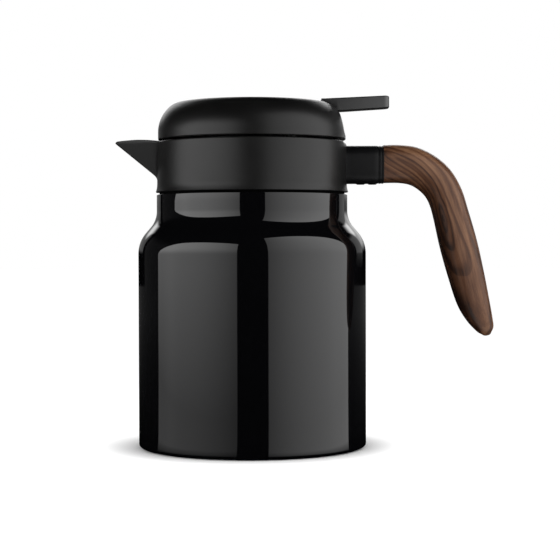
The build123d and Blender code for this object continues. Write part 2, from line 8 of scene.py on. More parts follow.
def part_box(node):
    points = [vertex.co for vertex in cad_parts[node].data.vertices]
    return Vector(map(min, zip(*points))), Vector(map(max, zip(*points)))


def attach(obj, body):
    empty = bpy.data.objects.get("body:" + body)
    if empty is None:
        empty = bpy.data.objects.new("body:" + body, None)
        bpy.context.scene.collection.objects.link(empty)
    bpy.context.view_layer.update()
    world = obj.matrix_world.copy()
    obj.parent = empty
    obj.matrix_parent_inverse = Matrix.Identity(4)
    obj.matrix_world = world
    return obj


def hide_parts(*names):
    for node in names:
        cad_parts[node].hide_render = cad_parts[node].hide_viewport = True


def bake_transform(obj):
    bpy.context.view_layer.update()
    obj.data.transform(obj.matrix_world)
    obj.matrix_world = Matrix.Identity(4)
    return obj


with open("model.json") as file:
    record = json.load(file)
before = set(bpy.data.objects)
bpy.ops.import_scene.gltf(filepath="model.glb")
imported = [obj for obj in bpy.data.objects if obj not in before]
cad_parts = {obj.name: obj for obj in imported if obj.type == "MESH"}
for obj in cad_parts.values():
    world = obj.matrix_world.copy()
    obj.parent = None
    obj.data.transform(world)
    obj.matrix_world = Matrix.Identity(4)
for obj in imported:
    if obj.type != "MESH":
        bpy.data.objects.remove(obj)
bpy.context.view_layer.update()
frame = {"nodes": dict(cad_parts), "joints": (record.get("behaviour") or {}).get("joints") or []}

# Thermal jug: gloss black body, satin black collar and lid, walnut handle.
# Metres, in the frame's own axes: spout along -X, handle along +X, +Z up.

mm = 0.001
scene = bpy.context.scene


def say(stage):
    print("stage:", stage)


# Node helpers, used by every material and by the geometry trees

def setInputs(tree, node, inputs):
    # Links the sockets among the values, and sets the others
    for key, value in inputs.items():
        if hasattr(value, "is_output"):
            tree.links.new(value, node.inputs[key])
        else:
            node.inputs[key].default_value = value


def addNode(tree, kind, inputs=None, **settings):
    node = tree.nodes.new(kind)
    for key, value in settings.items():
        setattr(node, key, value)
    setInputs(tree, node, inputs or {})
    return node


def newMaterial(name):
    made = bpy.data.materials.new(name)
    made.use_nodes = True
    tree = made.node_tree
    shader = next(node for node in tree.nodes if node.type == "BSDF_PRINCIPLED")
    return made, tree, shader


def scaled(tree, point, scale):
    return addNode(tree, "ShaderNodeMapping", {"Vector": point, "Scale": scale}).outputs["Vector"]


def objectPoint(tree, scale=(1, 1, 1)):
    return scaled(tree, addNode(tree, "ShaderNodeTexCoord").outputs["Object"], scale)


def noise(tree, point, scale, detail=2.0, roughness=0.5):
    node = addNode(tree, "ShaderNodeTexNoise", {"Vector": point, "Scale": scale, "Detail": detail,
                                                "Roughness": roughness})
    return node.outputs["Fac"]


def spread(tree, value, low, high, fromLow=0.3, fromHigh=0.7):
    node = addNode(tree, "ShaderNodeMapRange", {"Value": value, "From Min": fromLow, "From Max": fromHigh,
                                                "To Min": low, "To Max": high})
    return node.outputs["Result"]


def ramp(tree, value, stops):
    node = addNode(tree, "ShaderNodeValToRGB", {"Fac": value})
    bar = node.color_ramp
    while len(bar.elements) < len(stops):
        bar.elements.new(0.5)
    for element, (place, colour) in zip(bar.elements, stops):
        element.position = place
        element.color = (*colour, 1)
    return node.outputs["Color"]


def compute(tree, operation, first, second=0.0):
    return addNode(tree, "ShaderNodeMath", {0: first, 1: second}, operation=operation).outputs[0]


def combined(tree, x=0.0, y=0.0, z=0.0):
    return addNode(tree, "ShaderNodeCombineXYZ", {"X": x, "Y": y, "Z": z}).outputs[0]


def weighted(tree, *terms):
    # Adds up (value, weight) pairs
    total = 0.0
    for value, weight in terms:
        total = compute(tree, "ADD", total, compute(tree, "MULTIPLY", value, weight))
    return total


def bump(tree, height, depth):
    return addNode(tree, "ShaderNodeBump", {"Height": height, "Distance": depth, "Strength": 1.0}).outputs["Normal"]


# Materials

lacquer = {"colour": (0.0018, 0.0018, 0.0022), "roughness": (0.028, 0.045), "ior": 1.5,
           "cloudScale": 45, "waveScale": 85, "waveDepth": 0.000012}
plastic = {"cloudScale": 60, "from": 0.35, "to": 0.65, "grainDetail": 2.0}
rubber = {"cloudScale": 90, "from": 0.3, "to": 0.7, "grainDetail": 3.0, "specular": 0.5,
          "grainScale": 1500, "grainDepth": 0.00003}
satin = {**plastic, "dark": (0.0040, 0.0039, 0.0039), "light": (0.0058, 0.0057, 0.0056),
         "roughness": (0.33, 0.38), "specular": 0.30, "grainScale": 2600, "grainDepth": 0.000014}
smoothBlack = {**plastic, "dark": (0.0034, 0.0034, 0.0037), "light": (0.0050, 0.0050, 0.0054),
               "roughness": (0.32, 0.38), "specular": 0.12, "grainScale": 2200, "grainDepth": 0.000010}
leverBlack = {**plastic, "dark": (0.0034, 0.0034, 0.0036), "light": (0.0050, 0.0050, 0.0053),
              "roughness": (0.28, 0.33), "specular": 0.75, "grainScale": 2400, "grainDepth": 0.000010}
footRubber = {**rubber, "dark": (0.010, 0.010, 0.010), "light": (0.018, 0.018, 0.018), "roughness": (0.62, 0.80)}
greySilicone = {**rubber, "dark": (0.36, 0.36, 0.35), "light": (0.44, 0.44, 0.42), "roughness": (0.38, 0.50)}
linerSteel = {"colour": (0.60, 0.59, 0.57), "roughness": (0.22, 0.34), "lineScale": 9000, "lineDepth": 0.000006}
screwSteel = {"colour": (0.55, 0.55, 0.54), "roughness": (0.25, 0.38), "lineScale": 14000, "lineDepth": 0.000004}
blackSteel = {"colour": (0.014, 0.014, 0.014), "roughness": (0.30, 0.42), "lineScale": 9000, "lineDepth": 0.000004}
getterAlloy = {"colour": (0.22, 0.21, 0.20), "roughness": (0.55, 0.75), "lineScale": 3000, "lineDepth": 0.00002}
# Painted shade for the groove under the collar: near-black and almost glossless
recess = {"dark": (0.0010, 0.0010, 0.0010), "light": (0.0018, 0.0018, 0.0018), "roughness": 0.9,
          "specular": 0.02, "grainScale": 1200}
foam = {"dark": (0.62, 0.58, 0.47), "light": (0.80, 0.77, 0.68), "roughness": 0.9,
        "cellScale": 1400, "cellDepth": 0.00015}


def lacquerMaterial():
    made, tree, shader = newMaterial("glossLacquer")
    point = objectPoint(tree)
    cloud = noise(tree, point, lacquer["cloudScale"], 3)
    wave = noise(tree, point, lacquer["waveScale"], 1.0)
    setInputs(tree, shader, {
        "Base Color": (*lacquer["colour"], 1), "IOR": lacquer["ior"],
        "Roughness": spread(tree, cloud, *lacquer["roughness"]), "Normal": bump(tree, wave, lacquer["waveDepth"])})
    return made


def mottledMaterial(name, values):
    # A slow cloud in the colour, and a fine grain in gloss and surface
    made, tree, shader = newMaterial(name)
    point = objectPoint(tree)
    cloud = noise(tree, point, values["cloudScale"], 3)
    grain = noise(tree, point, values["grainScale"], values["grainDetail"], 0.6)
    setInputs(tree, shader, {
        "Base Color": ramp(tree, cloud, [(values["from"], values["dark"]), (values["to"], values["light"])]),
        "Specular IOR Level": values["specular"], "Roughness": spread(tree, grain, *values["roughness"]),
        "Normal": bump(tree, grain, values["grainDepth"])})
    return made


def steelMaterial(name, values):
    # Brushed round the axis: the lines are long in the plane and fine along Z
    made, tree, shader = newMaterial(name)
    lines = noise(tree, objectPoint(tree, (0.01, 0.01, 1)), values["lineScale"], 3, 0.65)
    setInputs(tree, shader, {
        "Base Color": (*values["colour"], 1), "Metallic": 1.0,
        "Roughness": spread(tree, lines, *values["roughness"]), "Normal": bump(tree, lines, values["lineDepth"])})
    return made


def grooveShadeMaterial():
    # Painted shade: the deep side of the narrow groove under the collar is made near-black and almost without gloss,
    # standing in for the shadow there
    made, tree, shader = newMaterial("grooveBlack")
    grain = noise(tree, objectPoint(tree), recess["grainScale"], 3, 0.6)
    setInputs(tree, shader, {"Base Color": ramp(tree, grain, [(0.3, recess["dark"]), (0.7, recess["light"])]),
                             "Roughness": recess["roughness"], "Specular IOR Level": recess["specular"]})
    return made


def foamMaterial():
    made, tree, shader = newMaterial("insulatingFoam")
    inputs = {"Vector": objectPoint(tree), "Scale": foam["cellScale"]}
    cells = addNode(tree, "ShaderNodeTexVoronoi", inputs).outputs["Distance"]
    setInputs(tree, shader, {"Base Color": ramp(tree, cells, [(0.0, foam["dark"]), (0.6, foam["light"])]),
                             "Roughness": foam["roughness"], "Normal": bump(tree, cells, foam["cellDepth"])})
    return made


# Lengths in metres, in the grip's own grain coordinates: X across the grip in its plane, Y sideways, Z along it
walnut = {
    "pithDepth": -0.0112, "pithTilt": 0.16, "pithFrom": 0.040, "pithSide": 0.0075, "pithDrift": 0.18,
    "ringRate": 2400, "ringDepth": 0.44, "faintest": 0.50, "warp": 0.0044, "warpScale": (60, 60, 17),
    "ringCurve": [(0.0, 0.30), (0.20, 0.05), (0.42, 0.12), (0.66, 0.62), (0.84, 1.0), (1.0, 0.30)],
    "fibreScale": (2600, 2600, 130), "streakScale": (420, 420, 14), "blotchScale": 1.6,
    "streakShare": 0.34, "blotchShare": 0.44, "fibreShare": 0.22, "tone": 0.17,
    # The inner band's keys set a painted shade along the grip's inner side
    "bandFrom": 0.0085, "bandTo": 0.0145, "bandDark": 0.50, "dropFrom": 0.020, "dropTo": 0.060,
    "heartFrom": 0.0056, "heartTo": 0.0100, "heartLight": 0.12, "heartOutside": -0.04,
    "dark": (0.0140, 0.0056, 0.0033), "mid": (0.074, 0.0300, 0.0140), "light": (0.175, 0.088, 0.046),
    "roughness": (0.28, 0.38), "specular": 0.22, "fibreDepth": 0.00003,
}


def walnutMaterial():
    made, tree, shader = newMaterial("oiledWalnut")
    point = addNode(tree, "ShaderNodeAttribute", attribute_name="grain").outputs["Vector"]
    # A slow warp keeps the rings from being perfect circles
    slow = scaled(tree, point, walnut["warpScale"])
    warp = addNode(tree, "ShaderNodeTexNoise", {"Vector": slow, "Scale": 1.0, "Detail": 2.0}).outputs["Color"]
    shift = addNode(tree, "ShaderNodeVectorMath", {0: warp, 1: (0.5, 0.5, 0.5)}, operation="SUBTRACT")
    shift = addNode(tree, "ShaderNodeVectorMath", {0: shift.outputs[0], "Scale": walnut["warp"]}, operation="SCALE")
    warped = addNode(tree, "ShaderNodeVectorMath", {0: point, 1: shift.outputs[0]}, operation="ADD").outputs[0]
    parts = addNode(tree, "ShaderNodeSeparateXYZ", {"Vector": warped}).outputs
    # The pith runs level along the root, then sinks and drifts outwards down the drop
    below = compute(tree, "MAXIMUM", compute(tree, "SUBTRACT", parts["Z"], walnut["pithFrom"]), 0.0)
    across = compute(tree, "SUBTRACT", parts["X"], walnut["pithSide"])
    across = compute(tree, "SUBTRACT", across, compute(tree, "MULTIPLY", below, walnut["pithDrift"]))
    pith = compute(tree, "ADD", walnut["pithDepth"], compute(tree, "MULTIPLY", below, walnut["pithTilt"]))
    depth = compute(tree, "SUBTRACT", parts["Y"], pith)
    radius = compute(tree, "SQRT", compute(tree, "ADD", compute(tree, "MULTIPLY", across, across),
                                           compute(tree, "MULTIPLY", depth, depth)))
    # Rings widen outwards; each darkens slowly, then ends sharply, and they differ in strength
    turn = compute(tree, "SQRT", compute(tree, "MULTIPLY", radius, walnut["ringRate"]))
    ringShape = addNode(tree, "ShaderNodeFloatCurve", {"Value": compute(tree, "FRACT", turn)})
    curve = ringShape.mapping.curves[0]
    curve.points[0].location, curve.points[1].location = walnut["ringCurve"][0], walnut["ringCurve"][-1]
    for place in walnut["ringCurve"][1:-1]:
        curve.points.new(*place)
    ringShape.mapping.update()
    ringNumber = compute(tree, "FLOOR", turn)
    chance = addNode(tree, "ShaderNodeTexWhiteNoise", {"W": ringNumber}, noise_dimensions="1D").outputs["Value"]
    ringDark = compute(tree, "MULTIPLY", ringShape.outputs["Value"],
                       spread(tree, chance, walnut["faintest"], 1.0, 0, 1))
    # Fine fibres, open pores and slow blotches along the grain
    fibre = noise(tree, scaled(tree, warped, walnut["fibreScale"]), 1.0, 4, 0.6)
    streak = noise(tree, scaled(tree, warped, walnut["streakScale"]), 1.0, 3, 0.55)
    blotch = noise(tree, slow, walnut["blotchScale"], 3, 0.5)
    tone = weighted(tree, (spread(tree, streak, 0, 1), walnut["streakShare"]),
                    (spread(tree, blotch, 0, 1), walnut["blotchShare"]),
                    (spread(tree, fibre, 0, 1), walnut["fibreShare"]), (ringDark, -walnut["ringDepth"]))
    # Down the drop, painted shade: a darker band along the inner side, where less light falls; and a lighter heart
    # inside the rings
    drop = spread(tree, parts["Z"], 0.25, 1.0, walnut["dropFrom"], walnut["dropTo"])
    inner = spread(tree, parts["X"], -walnut["bandDark"], 0.0, walnut["bandFrom"], walnut["bandTo"])
    heart = spread(tree, radius, walnut["heartLight"], walnut["heartOutside"], walnut["heartFrom"], walnut["heartTo"])
    tone = weighted(tree, (tone, 1.0), (inner, drop), (heart, drop), (walnut["tone"], 1.0))
    setInputs(tree, shader, {
        "Base Color": ramp(tree, tone, [(0.0, walnut["dark"]), (0.52, walnut["mid"]), (1.0, walnut["light"])]),
        "Roughness": spread(tree, fibre, *walnut["roughness"]), "Specular IOR Level": walnut["specular"],
        "Normal": bump(tree, fibre, walnut["fibreDepth"])})
    return made


say("materials")
materials = {
    "lacquer": lacquerMaterial(),
    "satin": mottledMaterial("satinPlastic", satin),
    "smoothBlack": mottledMaterial("smoothBlackPlastic", smoothBlack),
    "leverBlack": mottledMaterial("leverPlastic", leverBlack),
    "steel": steelMaterial("linerSteel", linerSteel),
    "brightSteel": steelMaterial("screwSteel", screwSteel),
    "darkSteel": steelMaterial("blackenedSteel", blackSteel),
    "getter": steelMaterial("getterAlloy", getterAlloy),
    "rubber": mottledMaterial("footRubber", footRubber),
    "silicone": mottledMaterial("greySilicone", greySilicone),
    "foam": foamMaterial(),
    "recess": grooveShadeMaterial(),
    "walnut": walnutMaterial(),
}


# Mesh helpers

def arc(centre, size, start, end, steps):
    # Points of an arc in the XZ plane, angles in degrees
    points = []
    for k in range(steps + 1):
        angle = radians(start + (end - start) * k / steps)
        points.append((centre[0] + size * cos(angle), centre[1] + size * sin(angle)))
    return points


def finishMesh(mesh, sharpAngle=35):
    # Welds points that meet, turns the faces outwards and shades edges sharp from an angle on
    merge = 0.000002
    work = bmesh.new()
    work.from_mesh(mesh)
    bmesh.ops.remove_doubles(work, verts=work.verts, dist=merge)
    bmesh.ops.dissolve_degenerate(work, edges=work.edges, dist=merge / 4)
    bmesh.ops.recalc_face_normals(work, faces=work.faces)
    work.to_mesh(mesh)
    work.free()
    mesh.shade_smooth()
    mesh.set_sharp_from_angle(angle=radians(sharpAngle))
    return mesh


def meshFrom(name, work):
    mesh = bpy.data.meshes.new(name)
    work.to_mesh(mesh)
    work.free()
    return mesh


def modifiedMesh(thing):
    # What an object's modifiers make of its mesh
    bpy.context.view_layer.update()
    return bpy.data.meshes.new_from_object(thing.evaluated_get(bpy.context.evaluated_depsgraph_get()))


def addObject(name, mesh):
    made = bpy.data.objects.new(name, mesh)
    scene.collection.objects.link(made)
    return made


def addPiece(name, mesh, material, body, node):
    # A mesh that has the material among its own keeps them all
    if material not in mesh.materials[:]:
        mesh.materials.clear()
        mesh.materials.append(material)
    piece = addObject(name, mesh)
    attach(piece, body)
    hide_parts(node)


def gridMesh(name, rows, closeRows, closeColumns):
    # A mesh from rows of points; every row has the same number of points
    width = len(rows[0])
    faces = []
    for i in range(len(rows) if closeRows else len(rows) - 1):
        for j in range(width if closeColumns else width - 1):
            i2, j2 = (i + 1) % len(rows), (j + 1) % width
            faces.append((i * width + j, i * width + j2, i2 * width + j2, i2 * width + j))
    mesh = bpy.data.meshes.new(name)
    mesh.from_pydata([point for row in rows for point in row], [], faces)
    return mesh


def closeEnds(mesh, width):
    # Closes a tube of rows by one face at each end
    work = bmesh.new()
    work.from_mesh(mesh)
    work.verts.ensure_lookup_table()
    for first in (0, len(work.verts) - width):
        work.faces.new([work.verts[first + k] for k in range(width)])
    bmesh.ops.recalc_face_normals(work, faces=work.faces)
    work.to_mesh(mesh)
    work.free()


def treeInput(tree, name):
    return next(item.identifier for item in tree.interface.items_tree
                if item.item_type == "SOCKET" and item.in_out == "INPUT" and item.name == name)


def newGeometryTree(name, inputs):
    tree = bpy.data.node_groups.new(name, "GeometryNodeTree")
    tree.interface.new_socket(name="Geometry", in_out="INPUT", socket_type="NodeSocketGeometry")
    tree.interface.new_socket(name="Geometry", in_out="OUTPUT", socket_type="NodeSocketGeometry")
    for label, kind, value in inputs:
        socket = tree.interface.new_socket(name=label, in_out="INPUT", socket_type=kind)
        if value is not None:
            socket.default_value = value
    start = addNode(tree, "NodeGroupInput")
    end = addNode(tree, "NodeGroupOutput")
    return tree, start, end


def endTree(tree, start, end, geometry):
    whole = addNode(tree, "GeometryNodeRealizeInstances", {"Geometry": geometry})
    dressed = addNode(tree, "GeometryNodeSetMaterial", {"Geometry": whole.outputs["Geometry"],
                                                        "Material": start.outputs["Material"]})
    tree.links.new(dressed.outputs["Geometry"], end.inputs["Geometry"])


def runTree(name, mesh, tree, values):
    # Runs a geometry tree on a mesh and gives back the plain mesh
    carrier = addObject(name + "Carrier", mesh)
    modifier = carrier.modifiers.new("tree", "NODES")
    modifier.node_group = tree
    for label, value in values.items():
        modifier[treeInput(tree, label)] = value
    made = modifiedMesh(carrier)
    made.name = name
    bpy.data.objects.remove(carrier)
    return made


def turningTree():
    # Turns an outline of edges in the XZ plane about Z, point by point
    tree, start, end = newGeometryTree("turnOutline", [
        ("Segments", "NodeSocketInt", 192),
        ("Merge Distance", "NodeSocketFloat", 0.000002),
        ("Material", "NodeSocketMaterial", None),
    ])
    outline = start.outputs["Geometry"]
    count = addNode(tree, "GeometryNodeAttributeDomainSize", {"Geometry": outline}).outputs["Point Count"]
    columns = compute(tree, "ADD", start.outputs["Segments"], 1)
    grid = addNode(tree, "GeometryNodeMeshGrid", {"Size X": 1.0, "Size Y": 1.0, "Vertices X": columns,
                                                  "Vertices Y": count})
    index = addNode(tree, "GeometryNodeInputIndex").outputs[0]
    along = compute(tree, "MODULO", index, count)
    column = compute(tree, "FLOOR", compute(tree, "DIVIDE", compute(tree, "ADD", index, 0.5), count))
    place = addNode(tree, "GeometryNodeInputPosition").outputs[0]
    sample = addNode(tree, "GeometryNodeSampleIndex", {"Geometry": outline, "Index": along},
                     data_type="FLOAT_VECTOR", domain="POINT")
    tree.links.new(place, next(socket for socket in sample.inputs if socket.name == "Value" and socket.enabled))
    vectorOut = next(socket for socket in sample.outputs if socket.enabled)
    parts = addNode(tree, "ShaderNodeSeparateXYZ", {0: vectorOut})
    turn = compute(tree, "MULTIPLY", compute(tree, "DIVIDE", column, start.outputs["Segments"]), 2 * pi)
    spot = combined(tree, compute(tree, "MULTIPLY", parts.outputs["X"], compute(tree, "COSINE", turn)),
                    compute(tree, "MULTIPLY", parts.outputs["X"], compute(tree, "SINE", turn)), parts.outputs["Z"])
    placed = addNode(tree, "GeometryNodeSetPosition", {"Geometry": grid.outputs["Mesh"], "Position": spot})
    merged = addNode(tree, "GeometryNodeMergeByDistance", {"Geometry": placed.outputs["Geometry"],
                                                           "Distance": start.outputs["Merge Distance"]})
    endTree(tree, start, end, merged.outputs["Geometry"])
    return tree


def softCorner(before, corner, after, size):
    # Rounds a corner of an outline by a small arc-like curve
    steps = 5
    a, b, c = Vector(before), Vector(corner), Vector(after)
    start = b + (a - b).normalized() * size
    end = b + (c - b).normalized() * size
    points = []
    for k in range(steps + 1):
        t = k / steps
        points.append(tuple(start * (1 - t) ** 2 + b * 2 * t * (1 - t) + end * t ** 2))
    return points


# Vessel

shellLow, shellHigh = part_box("outer_shell")
vesselSizes = {
    "radius": shellHigh.x, "foot": shellLow.z, "mouth": shellHigh.z,
    "sideTop": 101.9 * mm, "convex": 17.0 * mm, "concave": 13.0 * mm, "slope": 40.0,
    "neckStep": 9.75 * mm, "neckHeight": 8.5 * mm, "threadStep": 3.45 * mm, "footRound": 1.8 * mm,
    "footSteps": 8, "convexSteps": 22, "concaveSteps": 18,
    "wall": 0.6 * mm, "opening": 51.0 * mm, "neckEdge": 0.35 * mm, "sideRows": 24, "segments": 288,
}


def shoulderEnd(sizes):
    # Height at which the shoulder's curve runs into the neck
    slope = radians(sizes["slope"])
    bendSum = sizes["convex"] + sizes["concave"]
    slopeLength = (sizes["neckStep"] - bendSum * (1 - cos(slope))) / sin(slope)
    return sizes["sideTop"] + bendSum * sin(slope) + slopeLength * cos(slope)


def vesselOutline(sizes, inset, neckTop):
    # From the bottom's opening, up the side and the shoulder, to the middle of the neck
    radius = sizes["radius"]
    neck = radius - sizes["neckStep"]
    corner = sizes["footRound"] - inset
    bottom = sizes["foot"] + inset
    side = bottom + corner
    points = [(sizes["opening"], bottom)]
    points += arc((radius - inset - corner, side), corner, -90, 0, sizes["footSteps"])
    for k in range(1, sizes["sideRows"]):
        points.append((radius - inset, side + (sizes["sideTop"] - side) * k / sizes["sideRows"]))
    neckStart, slope = shoulderEnd(sizes), sizes["slope"]
    convex, concave = sizes["convex"], sizes["concave"]
    points += arc((radius - convex, sizes["sideTop"]), convex - inset, 0, slope, sizes["convexSteps"])
    points += arc((neck + concave, neckStart), concave + inset, 180 + slope, 180, sizes["concaveSteps"])
    points.append((neck - inset, (neckStart + neckTop) / 2))
    return points


def makeShell():
    sizes = vesselSizes
    wall = sizes["wall"]
    neck = sizes["radius"] - sizes["neckStep"]
    neckTop = shoulderEnd(sizes) + sizes["neckHeight"]
    thread = neck - sizes["threadStep"]
    outside = vesselOutline(sizes, 0, neckTop)
    outside += softCorner((neck, neckTop - mm), (neck, neckTop), (thread, neckTop), sizes["neckEdge"])
    outside += [(thread, neckTop), (thread, sizes["mouth"])]
    inside = vesselOutline(sizes, wall, neckTop - wall)
    inside += [(neck - wall, neckTop - wall), (thread - wall, neckTop - wall), (thread - wall, sizes["mouth"])]
    outline = outside + inside[::-1]
    outline.append(outline[0])
    edges = bpy.data.meshes.new("outerShellOutline")
    edges.from_pydata([(r, 0, z) for r, z in outline], [(k, k + 1) for k in range(len(outline) - 1)], [])
    values = {"Segments": sizes["segments"], "Material": materials["lacquer"]}
    mesh = finishMesh(runTree("outerShell", edges, turningTree(), values), 50)
    addPiece("outerShell", mesh, materials["lacquer"], "vessel", "outer_shell")


say("vessel")
makeShell()


# Pouring collar: one closed profile for each direction round the axis

joint = frame["joints"][0]
hinge = {
    "x": joint["pos_m"][0], "z": joint["pos_m"][2], "knuckle": 1.8 * mm, "gap": 0.3 * mm, "half": 8.0 * mm,
    "ear": 4.0 * mm, "aboveCollar": 0.6 * mm, "earBack": 2.6 * mm, "postHalf": 4.6 * mm, "postBack": 2.0 * mm,
    "postDrop": 4.0 * mm, "sink": 0.5 * mm, "sideGap": 0.5 * mm,
}
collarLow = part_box("pouring_collar")[0]
collar = {
    "radius": 50.0 * mm, "wall": 2.4 * mm, "bottom": collarLow.z + 1.3 * mm, "low": collarLow.z,
    "top": hinge["z"] - hinge["aboveCollar"], "grooveDepth": 1.45 * mm, "flare": 0.80 * mm,
    "flareHeight": 4.4 * mm, "edge": 0.8 * mm, "innerEdge": 0.3 * mm, "lowEdge": 0.25 * mm,
    "rearRound": 2.3 * mm, "rearDrop": 0.14 * mm, "rearSpan": 12.5 * mm, "rearFade": 3.0 * mm,
    "neckRadius": 50.25 * mm, "threadRadius": 46.8 * mm, "threadGap": 0.3 * mm,
    "floorLow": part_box("neck_gasket")[1].z, "floorThickness": 2.2 * mm, "bowlRound": 1.2 * mm,
    "throat": 36.0 * mm, "throatWall": 2.2 * mm, "throatRound": 0.8 * mm, "throatShelf": 6.0 * mm,
    "skirt": 4.5 * mm, "skirtEdge": 0.3 * mm, "outerRows": 44, "innerRows": 26,
    "rowsCrowd": 0.35, "leastLand": 0.02 * mm, "closeStep": 0.75, "closeTo": 30, "wideStep": 1.5,
}
spout = {
    "reach": 22.4 * mm, "rise": 1.15 * mm, "fullTo": 6.0, "fallTo": 17.0, "tipSlope": 0.045,
    "tipFrom": 61.5 * mm, "halfAngle": 27.5, "keelSlope": 39.2, "tipDrop": 1.8 * mm,
    "tipRound": 0.4 * mm, "footReach": 2.2 * mm, "footDrop": 3.6 * mm, "sunk": 3.0 * mm,
    "tipRadius": 1.6 * mm, "lowTipRadius": 0.5 * mm, "rootBlend": 4.4 * mm, "leastBlend": 0.35 * mm,
    "tipEdge": 0.75 * mm, "wall": 1.7 * mm, "innerBlend": 0.8 * mm, "innerTip": 0.5 * mm,
    "beadHeight": 1.3 * mm, "beadFull": 0.75, "beadOut": 0.22 * mm, "edgeCut": 0.45,
    "tipFullTo": 0.8, "tipFallTo": 3.0,
}


def smoothMax(a, b, size):
    h = max(size - abs(a - b), 0) / size
    return max(a, b) + h * h * size / 4


def smoothStep(value, low, high):
    t = min(max((value - low) / (high - low), 0), 1)
    return t * t * (3 - 2 * t)


def wedgeRadius(turn, tipPlace, tipRadius, halfAngle):
    # Distance from the axis to a V-shaped wedge with a round tip, in the direction turn from its middle
    turn = abs(turn)
    centre = tipPlace - tipRadius
    touch = atan2(tipRadius * cos(halfAngle), centre + tipRadius * sin(halfAngle))
    if turn <= touch:
        return centre * cos(turn) + sqrt(max(tipRadius ** 2 - (centre * sin(turn)) ** 2, 0))
    apex = centre + tipRadius / sin(halfAngle)
    return apex * sin(halfAngle) / sin(min(turn + halfAngle, pi / 2))


def keelReach(z):
    # How far the spout's keel stands out from the collar at height z
    rim = collar["top"] + spout["rise"]
    knee = rim - spout["tipDrop"]
    kneeReach = spout["reach"] - spout["tipRound"]
    slope = tan(radians(spout["keelSlope"]))
    foot = knee - (kneeReach - spout["footReach"]) * slope
    low = foot - spout["footDrop"]
    if z >= knee:
        t = (z - knee) / (rim - knee)
        return kneeReach + spout["tipRound"] * sin(t * pi / 2)
    if z >= foot:
        return kneeReach - (knee - z) / slope
    if z >= low:
        t = (z - low) / (foot - low)
        return spout["footReach"] * t * t
    return -spout["sunk"] * min((low - z) / spout["footDrop"], 1)


def collarOuter(turn, z):
    base = collar["radius"]
    fall = (z - collar["bottom"]) / collar["flareHeight"]
    if fall < 1:
        base += collar["flare"] * (1 - fall) ** 2
    reach = keelReach(z)
    if reach < 0.1 * mm - spout["sunk"]:
        return base
    share = max(reach / spout["reach"], 0)
    tipRadius = spout["lowTipRadius"] + (spout["tipRadius"] - spout["lowTipRadius"]) * share
    beak = wedgeRadius(turn, base + reach, tipRadius, radians(spout["halfAngle"]))
    return smoothMax(base, beak, spout["leastBlend"] + spout["rootBlend"] * share)


def collarInner(turn, z):
    base = collar["radius"] - collar["wall"]
    reach = keelReach(z) - spout["wall"] / sin(radians(spout["halfAngle"]))
    if reach < -collar["wall"] - spout["sunk"]:
        return base
    beak = wedgeRadius(turn, collar["radius"] + reach, spout["innerTip"], radians(spout["halfAngle"]))
    return smoothMax(base, beak, spout["innerBlend"])


def collarProfile(turn, rear):
    # turn: angle from the spout's middle; rear: distance of the column from the hinge's middle plane
    rimShare = 1 - smoothStep(abs(turn), radians(spout["fullTo"]), radians(spout["fallTo"]))
    tipShare = 1 - smoothStep(abs(turn), radians(spout["tipFullTo"]), radians(spout["tipFallTo"]))
    rearShare = 1 - smoothStep(rear, collar["rearSpan"], collar["rearSpan"] + collar["rearFade"])
    rim = collar["top"] + spout["rise"] * rimShare
    ahead = max(collarOuter(turn, rim) - spout["tipFrom"], 0)
    rim -= ahead * spout["tipSlope"] + collar["rearDrop"] * rearShare
    edge = collar["edge"] + (collar["rearRound"] - collar["edge"]) * rearShare
    edge = edge * (1 - spout["edgeCut"] * rimShare) + spout["tipEdge"] * tipShare
    # Up the outside, with a rounded bead along the spout's rim and rows that lie closer towards it
    start, end, crowd = collar["bottom"] + collar["lowEdge"], rim - edge, collar["rowsCrowd"]
    points = [(collarOuter(turn, collar["bottom"]) - collar["lowEdge"], collar["bottom"])]
    for k in range(collar["outerRows"] + 1):
        t = k / collar["outerRows"]
        z = start + (end - start) * t * (1 + crowd - crowd * t)
        bead = rimShare * (1 - smoothStep(rim - z, spout["beadHeight"] * spout["beadFull"], spout["beadHeight"]))
        points.append((collarOuter(turn, z) + spout["beadOut"] * bead, z))
    points += arc((points[-1][0] - edge, end), edge, 0, 90, 6)[1:]
    # Down the inside to the bowl's floor
    inRim = collarInner(turn, rim)
    inEdge = min(collar["innerEdge"], collar["wall"] - edge - collar["leastLand"])
    points += [(inRim + inEdge, rim), (inRim + inEdge * 0.3, rim - inEdge * 0.3), (inRim, rim - inEdge)]
    floor = collar["floorLow"] + collar["floorThickness"]
    top, low = rim - inEdge, floor + collar["bowlRound"]
    for k in range(1, collar["innerRows"] + 1):
        z = top + (low - top) * k / collar["innerRows"]
        points.append((collarInner(turn, z), z))
    bowl = collar["radius"] - collar["wall"]
    points += arc((bowl - collar["bowlRound"], low), collar["bowlRound"], 0, -90, 4)[1:]
    # Throat, skirt and the bore for the neck's thread
    throat, throatRound, skirtEdge = collar["throat"], collar["throatRound"], collar["skirtEdge"]
    skirtLow, skirtOut = collar["floorLow"] - collar["skirt"], throat + collar["throatWall"]
    points.append((throat + collar["throatShelf"], floor))
    points += arc((throat + throatRound, floor - throatRound), throatRound, 90, 180, 4)
    points += [(throat, skirtLow + skirtEdge), (throat + skirtEdge, skirtLow)]
    points += [(skirtOut - skirtEdge, skirtLow), (skirtOut, skirtLow + skirtEdge), (skirtOut, collar["floorLow"])]
    bore = collar["threadRadius"] + collar["threadGap"]
    groove = collar["neckRadius"] - collar["grooveDepth"]
    points += [(bore, collar["floorLow"]), (bore, collar["low"])]
    return points + [(groove, collar["low"]), (groove, collar["bottom"])]


